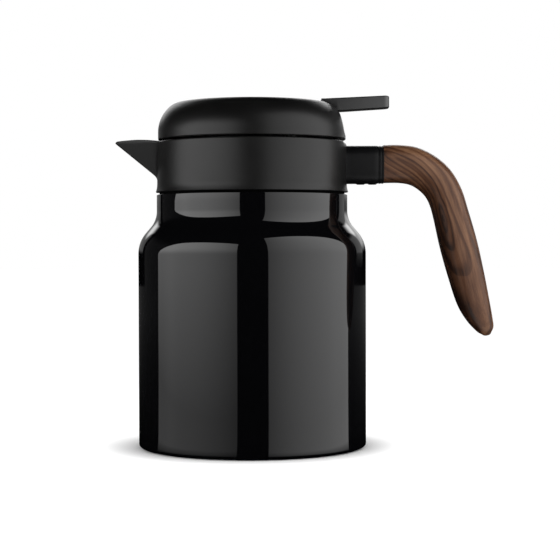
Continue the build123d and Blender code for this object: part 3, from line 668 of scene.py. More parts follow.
def collarTurns():
    # Directions round the axis, close together at the spout and wider apart behind
    fine = [0, 0.25, 0.5, 0.75, 1.0, 1.25, 1.5, 1.8, 2.2, 2.7, 3.3, 4.0, 5.0, 6.0, 7.0]
    while fine[-1] < collar["closeTo"]:
        fine.append(fine[-1] + collar["closeStep"])
    while fine[-1] + collar["wideStep"] < 180:
        fine.append(fine[-1] + collar["wideStep"])
    return [radians(a) for a in fine + [180]] + [radians(-a) for a in reversed(fine[1:])]


def blockMesh(low, high, edge=0.3 * mm):
    # A box between two corners, with a small bevel if edge is given
    work = bmesh.new()
    bmesh.ops.create_cube(work, size=1)
    for vertex in work.verts:
        vertex.co = [low[k] if vertex.co[k] < 0 else high[k] for k in range(3)]
    if edge:
        bmesh.ops.bevel(work, geom=work.edges[:], offset=edge, segments=2, profile=0.5, affect="EDGES")
    return meshFrom("block", work)


def rodMesh(x, z, radius, y0, y1, sides=48):
    # A rod along Y
    work = bmesh.new()
    bmesh.ops.create_cone(work, cap_ends=True, segments=sides, radius1=radius, radius2=radius, depth=y1 - y0,
                          matrix=Matrix.Translation((x, (y0 + y1) / 2, z)) @ Matrix.Rotation(pi / 2, 4, "X"))
    return meshFrom("rod", work)


def carve(mesh, cutter):
    # Cuts one closed mesh out of another
    holder, tool = addObject("carveHolder", mesh), addObject("carveTool", cutter)
    modifier = holder.modifiers.new("cut", "BOOLEAN")
    modifier.operation = "DIFFERENCE"
    modifier.solver = "EXACT"
    modifier.object = tool
    made = modifiedMesh(holder)
    for thing in (holder, tool):
        bpy.data.objects.remove(thing)
    if len(made.polygons) < len(mesh.polygons) / 2:
        raise RuntimeError("a cut left too little of " + mesh.name)
    return made


def swingRod(reach):
    # The room that the hinge's knuckles need, as far as reach to both sides
    return rodMesh(hinge["x"], hinge["z"], hinge["knuckle"] + hinge["gap"], -reach, reach, 64)


def joined(meshes):
    work = bmesh.new()
    for mesh in meshes:
        work.from_mesh(mesh)
    return meshFrom("joined", work)


def makeCollar():
    rows = []
    for turn in collarTurns():
        direction = Vector((-cos(turn), -sin(turn), 0))
        rear = abs(collar["radius"] * sin(turn)) if cos(turn) < 0 else 1.0
        rows.append([(direction.x * r, direction.y * r, z) for r, z in collarProfile(turn, rear)])
    inner = hinge["half"] + hinge["gap"]
    outer = inner + hinge["ear"]
    body = carve(finishMesh(gridMesh("pouringCollar", rows, True, True)), swingRod(inner))
    parts = [finishMesh(body)]
    # Two ears that carry the pin, and a post between them
    front = hinge["x"] - hinge["knuckle"]
    floor = collar["floorLow"] + collar["floorThickness"] - hinge["sink"]
    for y0, y1 in ((-outer, -inner), (inner, outer)):
        parts.append(finishMesh(rodMesh(hinge["x"], hinge["z"], hinge["knuckle"], y0, y1)))
        ear = blockMesh((front, y0, floor), (collar["radius"] - hinge["earBack"], y1, hinge["z"]), 0)
        parts.append(finishMesh(ear))
    post = blockMesh((front, -hinge["postHalf"], floor),
                     (collar["radius"] - hinge["postBack"], hinge["postHalf"], hinge["z"] - hinge["postDrop"]))
    mesh = joined(parts + [finishMesh(post)])
    mesh.name = "pouringCollar"
    mesh.shade_smooth()
    mesh.set_sharp_from_angle(angle=radians(40))
    # The groove's faces under the collar take the painted groove shade; the rest stays satin
    for finish in ("satin", "recess"):
        mesh.materials.append(materials[finish])
    for face in mesh.polygons:
        away = hypot(face.center.x, face.center.y)
        inGroove = collar["threadRadius"] < away < collar["radius"] and face.center.z < collar["bottom"] - 0.01 * mm
        face.material_index = 1 if inGroove else 0
    addPiece("pouringCollar", mesh, materials["satin"], "vessel", "pouring_collar")


say("pouring collar")
makeCollar()


# Lid

domeLow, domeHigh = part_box("lid_dome")
lid = {
    "radius": domeHigh.x, "bottom": domeLow.z, "side": 4.0 * mm, "shoulder": 17.5 * mm, "haunch": 8.0 * mm,
    "haunchAngle": 50.7, "crown": 400.0 * mm, "wall": 2.4 * mm, "flatInset": 1.2 * mm, "flatLean": 12.0,
    "flareTop": 4.6 * mm, "flareBottom": 1.8 * mm, "edge": 0.45 * mm, "segments": 240,
    "sideSteps": 10, "shoulderSteps": 16, "haunchSteps": 18, "crownSteps": 16,
}


def domeOutline(inset, edge):
    # Up the side, then over shoulder, haunch and crown to the axis
    side, bottom = lid["radius"] - inset, lid["bottom"]
    shoulderPlace = (lid["radius"] - lid["shoulder"], bottom + lid["side"])
    offset = lid["haunch"] - lid["shoulder"]
    haunchPlace = (shoulderPlace[0] - offset * cos(radians(lid["haunchAngle"])),
                   shoulderPlace[1] - offset * sin(radians(lid["haunchAngle"])))
    crownZ = haunchPlace[1] - sqrt((lid["crown"] - lid["haunch"]) ** 2 - haunchPlace[0] ** 2)
    crownAngle = degrees(atan2(haunchPlace[1] - crownZ, haunchPlace[0]))
    points = arc((side - edge, bottom + edge), edge, -90, 0, 5) if edge else [(side, bottom)]
    low = bottom + edge
    for k in range(1, lid["sideSteps"]):
        points.append((side, low + (shoulderPlace[1] - low) * k / lid["sideSteps"]))
    points += arc(shoulderPlace, lid["shoulder"] - inset, 0, lid["haunchAngle"], lid["shoulderSteps"])
    points += arc(haunchPlace, lid["haunch"] - inset, lid["haunchAngle"], crownAngle, lid["haunchSteps"])[1:]
    points += arc((0, crownZ), lid["crown"] - inset, crownAngle, 90, lid["crownSteps"])[1:]
    points[-1] = (0.0, points[-1][1])
    return points


def rearLimit(rise):
    # How far back the lid reaches at a height above its rim: a leaning flat over a foot that flares out
    lean = radians(lid["flatLean"])
    flat = lid["radius"] - lid["flatInset"]
    if rise >= lid["flareTop"]:
        return flat - (rise - lid["flareTop"]) * tan(lean)
    if rise <= lid["flareBottom"]:
        return lid["radius"]
    out, down = lid["flatInset"], lid["flareTop"] - lid["flareBottom"]
    size = (out ** 2 + down ** 2) / (2 * (out * cos(lean) - down * sin(lean)))
    centreX, centreZ = flat + size * cos(lean), lid["flareTop"] + size * sin(lean)
    return centreX - sqrt(size ** 2 - (rise - centreZ) ** 2)


def makeDome():
    outside = domeOutline(0, lid["edge"])
    outline = outside + domeOutline(lid["wall"], 0)[::-1]
    rows = []
    for k in range(lid["segments"]):
        turn = 2 * pi * k / lid["segments"]
        row = []
        for j, (r, z) in enumerate(outline):
            x = r * cos(turn)
            if j < len(outside):
                x = min(x, rearLimit(z - lid["bottom"]))
            row.append((x, r * sin(turn), z))
        rows.append(row)
    mesh = finishMesh(gridMesh("lidDome", rows, True, False))
    mesh = carve(mesh, swingRod(hinge["half"] + hinge["gap"] + hinge["ear"] + hinge["sideGap"]))
    addPiece("lidDome", finishMesh(mesh, 28), materials["satin"], "lid", "lid_dome")


say("lid")
makeDome()


# Thumb lever

leverLow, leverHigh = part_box("thumb_lever")
lever = {
    "start": leverLow.x, "end": leverHigh.x, "top": leverHigh.z, "width": 14.0 * mm, "thickness": 6.2 * mm,
    "rise": 2.6, "undersideRise": 3.6, "frontRun": 8.0 * mm, "cornerRadius": 2.4 * mm, "edge": 0.75 * mm,
    "tip": 0.12 * mm, "lowEdge": 0.45 * mm, "rowsAlong": 48, "capSteps": 7, "topFall": 0.9, "lowLift": 0.15,
    "thinnest": 2.4, "edgeSteps": 5, "lowEdgeSteps": 3,
}


def quarterTurn(steps):
    return [pi / 2 * k / steps for k in range(steps + 1)]


def leverPlaces():
    # Where the lever's sections stand along X, half their width, and how far the rounded end has fallen
    half, corner = lever["width"] / 2, lever["cornerRadius"]
    length = lever["end"] - corner - lever["start"]
    places = [(lever["start"] + length * k / lever["rowsAlong"], half, 0.0) for k in range(lever["rowsAlong"])]
    for angle in quarterTurn(lever["capSteps"]):
        inward = 1 - cos(angle)
        places.append((lever["end"] - corner * (1 - sin(angle)), half - corner * inward, lever["edge"] * inward))
    return places


def leverSection(x, reach, fall):
    # A rounded section as (across, up) points; the front is a slanted face that starts as a point
    backOff = lever["end"] - x
    top = lever["top"] - backOff * tan(radians(lever["rise"])) - fall * lever["topFall"]
    low = lever["top"] - lever["thickness"] - backOff * tan(radians(lever["undersideRise"])) + fall * lever["lowLift"]
    share = min((x - lever["start"]) / lever["frontRun"], 1)
    low = top - lever["tip"] - (top - lever["tip"] - low) * share
    edge = min(lever["edge"], (top - low) / lever["thinnest"])
    lowEdge = min(lever["lowEdge"], (top - low) / lever["thinnest"])
    side = [(reach - edge + edge * sin(a), top - edge + edge * cos(a)) for a in quarterTurn(lever["edgeSteps"])]
    side += [(reach - lowEdge + lowEdge * cos(a), low + lowEdge - lowEdge * sin(a))
             for a in quarterTurn(lever["lowEdgeSteps"])]
    return side + [(-y, z) for y, z in side[::-1]]


def makeLever():
    # A loft of sections along X; the foot end runs into the dome
    rows = [[(x, y, z) for y, z in leverSection(x, reach, fall)] for x, reach, fall in leverPlaces()]
    mesh = gridMesh("thumbLever", rows, False, True)
    closeEnds(mesh, len(rows[0]))
    addPiece("thumbLever", finishMesh(mesh, 32), materials["leverBlack"], "lid", "thumb_lever")


makeLever()


# Handle: socket, ring and grip

socketLow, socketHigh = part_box("handle_socket")
handle = {
    "axisZ": (socketLow.z + socketHigh.z) / 2, "width": socketHigh.y - socketLow.y,
    "height": socketHigh.z - socketLow.z, "corner": 7.2 * mm, "end": socketHigh.x,
    "gripStart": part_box("wood_grip")[0].x, "wall": 3.0 * mm, "holeCorner": 0.4 * mm, "holeSink": 0.6 * mm,
    "collarSink": 0.05 * mm, "collarFillet": 0.05 * mm, "endEdge": 0.35 * mm, "endBevel": 0.1 * mm,
    "ringGroove": 0.25 * mm, "ringInset": 0.1 * mm, "ringSoft": 0.12 * mm,
    "cornerSteps": 12, "filletSteps": 6, "rowsAlong": 8,
}


def roundedLoop(width, height, corner):
    # A rounded rectangle as (across, up) points, counter-clockwise from the right side
    points, steps = [], handle["cornerSteps"]
    corner = min(corner, width / 2 - 1e-6, height / 2 - 1e-6)
    for cx, cz, start in ((1, 1, 0), (-1, 1, 90), (-1, -1, 180), (1, -1, 270)):
        for k in range(steps + 1):
            angle = radians(start + 90 * k / steps)
            points.append((cx * (width / 2 - corner) + corner * cos(angle),
                           cz * (height / 2 - corner) + corner * sin(angle)))
    return points


def handleRow(x, grow):
    # The outside of socket and ring at x, grown all round
    loop = roundedLoop(handle["width"] + 2 * grow, handle["height"] + 2 * grow, handle["corner"] + grow)
    return [(x, y, handle["axisZ"] + z) for y, z in loop]


def holeRow(x):
    wall = handle["wall"]
    loop = roundedLoop(handle["width"] - 2 * wall, handle["height"] - 2 * wall, handle["holeCorner"])
    return [(x, y, handle["axisZ"] + z) for y, z in loop]


def collarReach(y):
    return sqrt((collar["radius"] - handle["collarSink"]) ** 2 - y * y)


def makeSocket():
    # Where the socket meets the collar it swells by a small fillet
    fillet, end, half = handle["collarFillet"], handle["end"], handle["width"] / 2
    rows = [[(collarReach(y), y, z) for x, y, z in handleRow(0, fillet)]]
    for angle in quarterTurn(handle["filletSteps"])[1:]:
        rows.append([(collarReach(min(abs(y), half)) + x, y, z)
                     for x, y, z in handleRow(fillet * (1 - cos(angle)), fillet * (1 - sin(angle)))])
    start = collar["radius"] + fillet
    for k in range(1, handle["rowsAlong"] + 1):
        rows.append(handleRow(start + (end - handle["endEdge"] - start) * k / handle["rowsAlong"], 0))
    rows += [handleRow(end - handle["endBevel"], -handle["endBevel"]), handleRow(end, -handle["endEdge"])]
    rows += [holeRow(end), holeRow(collar["radius"] - handle["holeSink"])]
    mesh = finishMesh(gridMesh("handleSocket", rows, True, True), 40)
    addPiece("handleSocket", mesh, materials["smoothBlack"], "vessel", "handle_socket")


def makeRing():
    # Two grooves and two ridges of the same width
    start, soft = handle["end"], handle["ringSoft"]
    groove, ridge = handle["ringGroove"], handle["ringInset"]
    step = (handle["gripStart"] - start) / 4
    rows = []
    for k, shrink in enumerate((groove, ridge, groove, ridge)):
        if k:
            rows.append(handleRow(start + k * step, -(ridge + soft)))
        rows.append(handleRow(start + k * step + (soft if k else 0), -shrink))
        rows.append(handleRow(start + (k + 1) * step - soft, -shrink))
    rows.append(handleRow(start + 4 * step, -(ridge + soft)))
    rows += [holeRow(handle["gripStart"]), holeRow(start)]
    mesh = finishMesh(gridMesh("socketRing", rows, True, True))
    addPiece("socketRing", mesh, materials["smoothBlack"], "vessel", "socket_ring")


# Each row is one cross section of the grip, in millimetres from its root: the outer edge (along X, Z),
# the inner edge (along X, Z) and the width. Each cap closes an end by loops of (share, depth)
grip = {
    "rows": [
        (0.0, 10.4, 0.0, -9.6, 18.4),
        (8.0, 10.5, 8.0, -9.6, 18.6),
        (17.8, 9.2, 14.0, -10.6, 19.2),
        (27.3, 4.6, 18.6, -13.2, 20.0),
        (35.3, -2.6, 22.4, -17.0, 20.9),
        (41.1, -12.5, 24.8, -21.9, 21.7),
        (44.8, -24.0, 26.7, -28.9, 22.0),
        (49.3, -39.6, 30.1, -44.3, 22.0),
        (53.0, -56.1, 34.6, -60.3, 21.6),
        (55.9, -71.1, 39.1, -73.8, 20.4),
        (57.7, -81.1, 44.0, -82.2, 17.0),
        (58.2, -85.6, 49.3, -88.0, 11.5),
        (56.9, -89.1, 52.5, -90.0, 5.0),
    ],
    "squareness": 2.35, "around": 72, "perSpan": 8, "rootSlant": 0.75, "slantFade": 22.0 * mm,
    "startCap": [(0.5, 0.0), (0.02, 0.0)],
    "endCap": [(0.86, 0.35 * mm), (0.62, 0.62 * mm), (0.32, 0.78 * mm), (0.02, 0.82 * mm)],
}


def curveThrough(values, t):
    # Catmull-Rom through a list of numbers, t from 0 to its last index
    k = min(int(t), len(values) - 2)
    f = t - k
    a = values[k - 1] if k > 0 else 2 * values[0] - values[1]
    b, c = values[k], values[k + 1]
    d = values[k + 2] if k + 2 < len(values) else 2 * values[-1] - values[-2]
    return 0.5 * (2 * b + (c - a) * f + (2 * a - 5 * b + 4 * c - d) * f * f + (3 * b - a - 3 * c + d) * f ** 3)


def gripSection(t):
    outerX, outerZ, innerX, innerZ, width = (curveThrough([row[k] for row in grip["rows"]], t) * mm
                                            for k in range(5))
    return Vector((outerX, 0, outerZ)), Vector((innerX, 0, innerZ)), width


def capLoops(row, grain, forward, loops):
    # Shrinking loops that close an end of the grip
    centre = sum(row, Vector()) / len(row)
    rows = [[centre + (point - centre) * share + forward * depth for point in row] for share, depth in loops]
    grains = [[(g[0] * share, g[1] * share, g[2] + depth) for g in grain] for share, depth in loops]
    return rows, grains


def makeGrip():
    root = Vector((handle["gripStart"], 0, handle["axisZ"]))
    last = len(grip["rows"]) - 1
    steps = last * grip["perSpan"]
    power = 2 / grip["squareness"]
    rows, grains, middles = [], [], []
    along = 0.0
    for i in range(steps + 1):
        outer, inner, width = gripSection(last * i / steps)
        middles.append((outer + inner) / 2)
        if i:
            along += (middles[-1] - middles[-2]).length
        up = (outer - inner) / 2
        slant = grip["rootSlant"] * grip["slantFade"] * (1 - exp(-along / grip["slantFade"]))
        row, grain = [], []
        for j in range(grip["around"]):
            angle = 2 * pi * j / grip["around"]
            c, s = cos(angle), sin(angle)
            y = width / 2 * abs(c) ** power * (1 if c >= 0 else -1)
            u = abs(s) ** power * (1 if s >= 0 else -1)
            row.append(root + middles[-1] + up * u + Vector((0, y, 0)))
            grain.append((up.length * u + slant, y, along))
        rows.append(row)
        grains.append(grain)
    # The root's end is flat, the far end is rounded
    startRows, startGrains = capLoops(rows[0], grains[0], Vector((1, 0, 0)), grip["startCap"])
    endRows, endGrains = capLoops(rows[-1], grains[-1], (middles[-1] - middles[-3]).normalized(), grip["endCap"])
    rows = startRows[::-1] + rows + endRows
    grains = startGrains[::-1] + grains + endGrains
    mesh = gridMesh("woodGrip", rows, False, True)
    attribute = mesh.attributes.new("grain", "FLOAT_VECTOR", "POINT")
    attribute.data.foreach_set("vector", [value for grain in grains for place in grain for value in place])
    closeEnds(mesh, grip["around"])
    mesh.shade_smooth()
    mesh.set_sharp_from_angle(angle=radians(50))
    addPiece("woodGrip", mesh, materials["walnut"], "vessel", "wood_grip")


say("handle")
makeSocket()
makeRing()
makeGrip()


# Screws and spring, by geometry trees

screwSizes = {"Head Radius": 2.7 * mm, "Head Height": 1.6 * mm, "Shank Radius": 1.4 * mm,
              "Slot Length": 2.6 * mm, "Slot Width": 0.6 * mm, "Slot Depth": 0.8 * mm}
screwHead = {"rimShare": 0.55, "crownShare": 0.72, "sides": 40, "shankSides": 24}
# Each set stands on a ring round the axis, or in a row along one axis at the ends of its box
screwSets = {
    "lidBaseScrews": {"node": "lid_base_screws", "body": "lid", "finish": "darkSteel", "slot": "black_steel",
                      "turnOver": 0.0, "ring": 41.0 * mm, "from": 60},
    "stopperScrews": {"node": "stopper_screws", "body": "lid", "finish": "brightSteel", "slot": "bright_steel",
                      "turnOver": 1.0, "ring": 25.0 * mm, "from": 0},
    "leverScrews": {"node": "lever_screws", "body": "lid", "finish": "darkSteel", "slot": "black_steel",
                    "turnOver": 0.0, "row": 1},
    "socketScrews": {"node": "socket_screws", "body": "vessel", "finish": "darkSteel", "slot": "black_steel",
                     "turnOver": 0.0, "row": 0},
}


def sizeInputs(sizes):
    # A tree's number inputs, named and preset by a dictionary
    return [(label, "NodeSocketFloat", value) for label, value in sizes.items()]


def moved(tree, geometry, place, turn=(0, 0, 0)):
    inputs = {"Geometry": geometry, "Translation": place, "Rotation": turn}
    return addNode(tree, "GeometryNodeTransform", inputs).outputs["Geometry"]


def gathered(tree, kind, socket, meshes, **settings):
    # A node that takes many meshes at one socket
    node = addNode(tree, kind, **settings)
    for mesh in meshes:
        tree.links.new(mesh, node.inputs[socket])
    return node


def screwTree():
    # One pan-head screw, head at the point and shank along the point's Z, for each point
    tree, start, end = newGeometryTree("screwGroup", sizeInputs(screwSizes) + [
        ("Length", "NodeSocketFloat", 8.0 * mm), ("Turn Over", "NodeSocketFloat", 0.0),
        ("Material", "NodeSocketMaterial", None)])
    take = start.outputs
    height, radius = take["Head Height"], take["Head Radius"]
    rimHeight = compute(tree, "MULTIPLY", height, screwHead["rimShare"])
    crownHeight = compute(tree, "SUBTRACT", height, rimHeight)
    shankLength = compute(tree, "SUBTRACT", take["Length"], height)

    def rod(sides, size, length, low):
        made = addNode(tree, "GeometryNodeMeshCylinder", {"Vertices": sides, "Radius": size, "Depth": length})
        middle = compute(tree, "ADD", low, compute(tree, "MULTIPLY", length, 0.5))
        return moved(tree, made.outputs["Mesh"], combined(tree, z=middle))

    rim = rod(screwHead["sides"], radius, rimHeight, crownHeight)
    shank = rod(screwHead["shankSides"], take["Shank Radius"], shankLength, height)
    crown = addNode(tree, "GeometryNodeMeshCone", {
        "Vertices": screwHead["sides"], "Radius Top": radius, "Depth": crownHeight,
        "Radius Bottom": compute(tree, "MULTIPLY", radius, screwHead["crownShare"])}).outputs["Mesh"]
    # A cross-shaped recess
    depth = compute(tree, "MULTIPLY", take["Slot Depth"], 2.0)
    slots = [addNode(tree, "GeometryNodeMeshCube", {"Size": combined(tree, x, y, depth)}).outputs["Mesh"]
             for x, y in ((take["Slot Length"], take["Slot Width"]), (take["Slot Width"], take["Slot Length"]))]
    parts = []
    for solid in (rim, crown):
        cut = gathered(tree, "GeometryNodeMeshBoolean", 1, slots, operation="DIFFERENCE", solver="EXACT")
        tree.links.new(solid, cut.inputs[0])
        parts.append(cut.outputs["Mesh"])
    whole = gathered(tree, "GeometryNodeJoinGeometry", 0, parts + [shank]).outputs[0]
    turn = combined(tree, compute(tree, "MULTIPLY", take["Turn Over"], pi))
    placed = addNode(tree, "GeometryNodeInstanceOnPoints", {"Points": take["Geometry"], "Instance": whole,
                                                            "Rotation": turn})
    endTree(tree, start, end, placed.outputs["Instances"])
    return tree


def screwPlaces(values, low, high):
    z = high.z if values["turnOver"] else low.z
    if "ring" in values:
        turns = [radians(values["from"] + step) for step in (0, 120, 240)]
        return [(values["ring"] * cos(turn), values["ring"] * sin(turn), z) for turn in turns]
    head, axis = screwSizes["Head Radius"], values["row"]
    places = [[(low.x + high.x) / 2, (low.y + high.y) / 2, z] for end in range(2)]
    places[0][axis], places[1][axis] = low[axis] + head, high[axis] - head
    return places


def makeScrews(name, values, tree):
    low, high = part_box(values["node"])
    points = bpy.data.meshes.new(name + "Points")
    points.from_pydata(screwPlaces(values, low, high), [], [])
    material = materials[values["finish"]]
    inputs = {**screwSizes, "Length": high.z - low.z, "Turn Over": values["turnOver"], "Material": material}
    mesh = finishMesh(runTree(name, points, tree, inputs), 30)
    addPiece(name, mesh, material, values["body"], values["node"])


say("screws and spring")
sharedScrew = screwTree()
for name, values in screwSets.items():
    makeScrews(name, values, sharedScrew)


springSizes = {"Coil Radius": 1.65 * mm, "Wire Radius": 0.35 * mm, "Turns": 5.25, "Coil Length": 4.2 * mm,
               "Fixed Leg": 8.0 * mm, "Moving Leg": 2.8 * mm}


def springTree():
    # A coil along Y about the hinge with a leg at each end
    tree, start, end = newGeometryTree("torsionSpring", sizeInputs(springSizes) + [
        ("Centre", "NodeSocketVector", (0, 0, 0)), ("Material", "NodeSocketMaterial", None)])
    take = start.outputs
    radius = take["Coil Radius"]
    half = compute(tree, "MULTIPLY", take["Coil Length"], 0.5)
    far = compute(tree, "MULTIPLY", half, -1.0)
    coil = addNode(tree, "GeometryNodeCurveSpiral", {"Resolution": 40, "Rotations": take["Turns"],
                                                     "Start Radius": radius, "End Radius": radius,
                                                     "Height": take["Coil Length"]}).outputs["Curve"]
    curves = [moved(tree, coil, combined(tree, y=half), (pi / 2, 0, 0))]
    fixedLeg = (combined(tree, radius, half),
                combined(tree, radius, half, compute(tree, "MULTIPLY", take["Fixed Leg"], -1.0)))
    movingLeg = (combined(tree, 0.0, far, radius),
                 combined(tree, compute(tree, "MULTIPLY", take["Moving Leg"], -1.0), far, radius))
    for first, last in (fixedLeg, movingLeg):
        line = addNode(tree, "GeometryNodeCurvePrimitiveLine", {"Start": first, "End": last})
        curves.append(line.outputs["Curve"])
    wires = gathered(tree, "GeometryNodeJoinGeometry", 0, curves).outputs[0]
    wire = addNode(tree, "GeometryNodeCurvePrimitiveCircle", {"Resolution": 12, "Radius": take["Wire Radius"]})
    tube = addNode(tree, "GeometryNodeCurveToMesh", {"Curve": wires, "Profile Curve": wire.outputs["Curve"],
                                                     "Fill Caps": True})
    endTree(tree, start, end, moved(tree, tube.outputs["Mesh"], take["Centre"]))
    return tree


def makeSpring():
    values = {**springSizes, "Centre": (hinge["x"], 0, hinge["z"]), "Material": materials["brightSteel"]}
    point = bpy.data.meshes.new("springPoint")
    point.from_pydata([(0, 0, 0)], [], [])
    mesh = finishMesh(runTree("lidSpring", point, springTree(), values), 60)
    spring = addObject("lidSpring", mesh)
    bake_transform(spring)
    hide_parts("lid_spring")


makeSpring()


# CAD nodes that keep their own shape

say("carried nodes")
dressing = {
    "inner_liner": "steel", "vacuum_bottom": "steel", "getter": "getter", "base_cap": "smoothBlack",
    "base_pad": "rubber", "neck_gasket": "silicone", "grip_tang": "smoothBlack", "lid_base": "satin",
    "hinge_pin": "brightSteel", "stopper_cup": "satin", "stopper_insulation": "foam",
    "stopper_seal": "silicone",
}
for node, finish in dressing.items():
    carried = frame["nodes"][node]
    carried.data.materials.clear()
    carried.data.materials.append(materials[finish])


# Stage: pale floor, white surround, two soft panels, and lights behind that only gloss sees

say("stage")
camera = {"place": (14.646 * mm, -845.12 * mm, 106.882 * mm), "pitch": 0.0224, "roll": -0.0024, "lens": 102.68}
surround = {
    "fill": 0.32, "floorSize": 6.0, "floorColour": 0.82, "floorRoughness": 0.9, "floorGlow": 0.76,
    # shadowReach, openFrom, openTo, nearFoot and awayFromFoot shape the floor's painted contact shadow
    "shadowReach": 30 * mm, "openFrom": 0.53, "openTo": 0.97, "nearFoot": 85 * mm, "awayFromFoot": 95 * mm,
    "wallRadius": 1.6, "wallFoot": 0.2 * mm, "wallGlowTo": 0.6, "wallDarkFrom": 0.9, "wallTop": 2.5, "wallSteps": 72,
}
# Each panel is a flat sheet that stands off the axis, faces some degrees round from the front, and is
# mirrored in the body's side between two directions; its light is softer low down and towards the front
panels = {
    "left": {"stand": 0.25, "facing": -38, "inner": -6.9, "outer": -53.6, "top": 0.255, "strength": 3.05,
             "innerLight": 0.45, "fullFrom": 0.60, "outerLight": 0.70, "footLight": 0.26, "lowLight": 0.56,
             "roundFrom": 0.66, "round": 150 * mm},
    "right": {"stand": 0.20, "facing": 40, "inner": 8.4, "outer": 56.2, "top": 0.345, "strength": 2.45,
              "innerLight": 0.38, "fullFrom": 0.75, "outerLight": 0.84, "footLight": 0.68, "lowLight": 0.87,
              "roundFrom": 0.85, "round": 60 * mm},
}
panelStep = {"low": 90 * mm, "high": 180 * mm, "columns": 32, "rows": 40, "crowd": 1.5, "outerFrom": 0.75,
             "tableHeight": 0.4 * mm, "tableReaches": (0.01, 0.04, 0.12, 0.3, 0.5, 0.75, 1.0)}
# Lights behind, on one upright sheet: directions in degrees round from the front, soft edges in
# degrees, heights, the height over which each rises and falls, and its level
rearSheet = {"from": 122, "to": 226, "distance": 1.0, "low": 0.06, "high": 1.1, "columns": 104, "rows": 52}
rearLights = [
    {"from": 145.5, "to": 195.5, "soft": 1, "low": 0.12, "high": 0.50, "rise": 0.14, "fall": 0.06, "level": 1.0},
    {"from": 127.5, "to": 146.5, "soft": 1, "low": 0.08, "high": 0.56, "rise": 0.06, "fall": 0.10, "level": 0.36},
    {"from": 194.5, "to": 220, "soft": 1, "low": 0.10, "high": 0.50, "rise": 0.06, "fall": 0.06, "level": 0.22},
    {"from": 142, "to": 182, "soft": 9, "low": 0.32, "high": 0.95, "rise": 0.14, "fall": 0.25, "level": 2.6},
    {"from": 181, "to": 217, "soft": 8, "low": 0.26, "high": 1.10, "rise": 0.16, "fall": 0.35, "level": 2.1},
]
# What the dark tent still sends back, by direction in degrees round from the front
tentGlow = [(0, 0.0), (60, 0.0), (100, 0.06), (150, 0.07), (180, 0.05), (215, 0.04), (260, 0.035), (300, 0.0),
            (360, 0.0)]


def addCamera():
    data = bpy.data.cameras.new("camera")
    data.lens = camera["lens"]
    data.sensor_width = 36
    data.clip_start, data.clip_end = 0.01, 50
    made = addObject("camera", data)
    turn = Matrix.Rotation(pi / 2 - camera["pitch"], 4, "X") @ Matrix.Rotation(camera["roll"], 4, "Z")
    made.matrix_world = Matrix.Translation(camera["place"]) @ turn
    scene.camera = made


def glowMaterial(name):
    # Sends out the light that the sheet's own glow values give
    made = bpy.data.materials.new(name)
    made.use_nodes = True
    tree = made.node_tree
    tree.nodes.clear()
    own = addNode(tree, "ShaderNodeAttribute", attribute_name="glow").outputs["Fac"]
    glow = addNode(tree, "ShaderNodeEmission", {"Strength": own}).outputs[0]
    addNode(tree, "ShaderNodeOutputMaterial", {"Surface": glow})
    return made


def addSheet(name, rows, material, glow, glossOnly=True):
    # A stage sheet from rows of points, with a light value for every point
    mesh = gridMesh(name, rows, False, False)
    mesh.materials.append(material)
    own = mesh.attributes.new("glow", "FLOAT", "POINT")
    own.data.foreach_set("value", [value for row in glow for value in row])
    made = addObject(name, mesh)
    made.visible_camera = False
    made.visible_transmission = False
    if glossOnly:
        made.visible_diffuse = False
        made.visible_shadow = False


def seenDirectly(tree):
    # 1 for camera, gloss and transmission rays
    path = addNode(tree, "ShaderNodeLightPath")
    both = compute(tree, "MAXIMUM", path.outputs["Is Camera Ray"], path.outputs["Is Glossy Ray"])
    return compute(tree, "MAXIMUM", both, path.outputs["Is Transmission Ray"])


def addFloor():
    made, tree, shader = newMaterial("paleFloor")
    tone, size = surround["floorColour"], surround["floorSize"]
    # Painted contact shadow: the glow is cut where ambient occlusion finds the foot close, only inside a ring round
    # the axis, so the floor darkens right under the foot
    shadowOcclusion = addNode(tree, "ShaderNodeAmbientOcclusion", {"Distance": surround["shadowReach"]}, samples=8)
    away = addNode(tree, "ShaderNodeVectorMath", {0: objectPoint(tree)}, operation="LENGTH").outputs["Value"]
    pastPaintedShadow = spread(tree, away, 0.0, 1.0, surround["nearFoot"], surround["awayFromFoot"])
    clear = spread(tree, shadowOcclusion.outputs["AO"], 0.0, 1.0, surround["openFrom"], surround["openTo"])
    glow = compute(tree, "MULTIPLY", seenDirectly(tree), surround["floorGlow"])
    setInputs(tree, shader, {
        "Base Color": (tone, tone, tone, 1), "Roughness": surround["floorRoughness"], "Specular IOR Level": 0.0,
        "Emission Color": (1, 1, 1, 1),
        "Emission Strength": compute(tree, "MULTIPLY", glow, compute(tree, "MAXIMUM", clear, pastPaintedShadow))})
    mesh = gridMesh("floor", [[(-size, y, 0), (size, y, 0)] for y in (-size, size)], False, False)
    mesh.materials.append(made)
    addObject("floor", mesh)


def addWorld():
    world = bpy.data.worlds.new("surround")
    scene.world = world
    world.use_nodes = True
    tree = world.node_tree
    tree.nodes.clear()
    level = compute(tree, "MAXIMUM", seenDirectly(tree), surround["fill"])
    back = addNode(tree, "ShaderNodeBackground", {"Color": (1, 1, 1, 1), "Strength": level}).outputs[0]
    addNode(tree, "ShaderNodeOutputWorld", {"Surface": back})


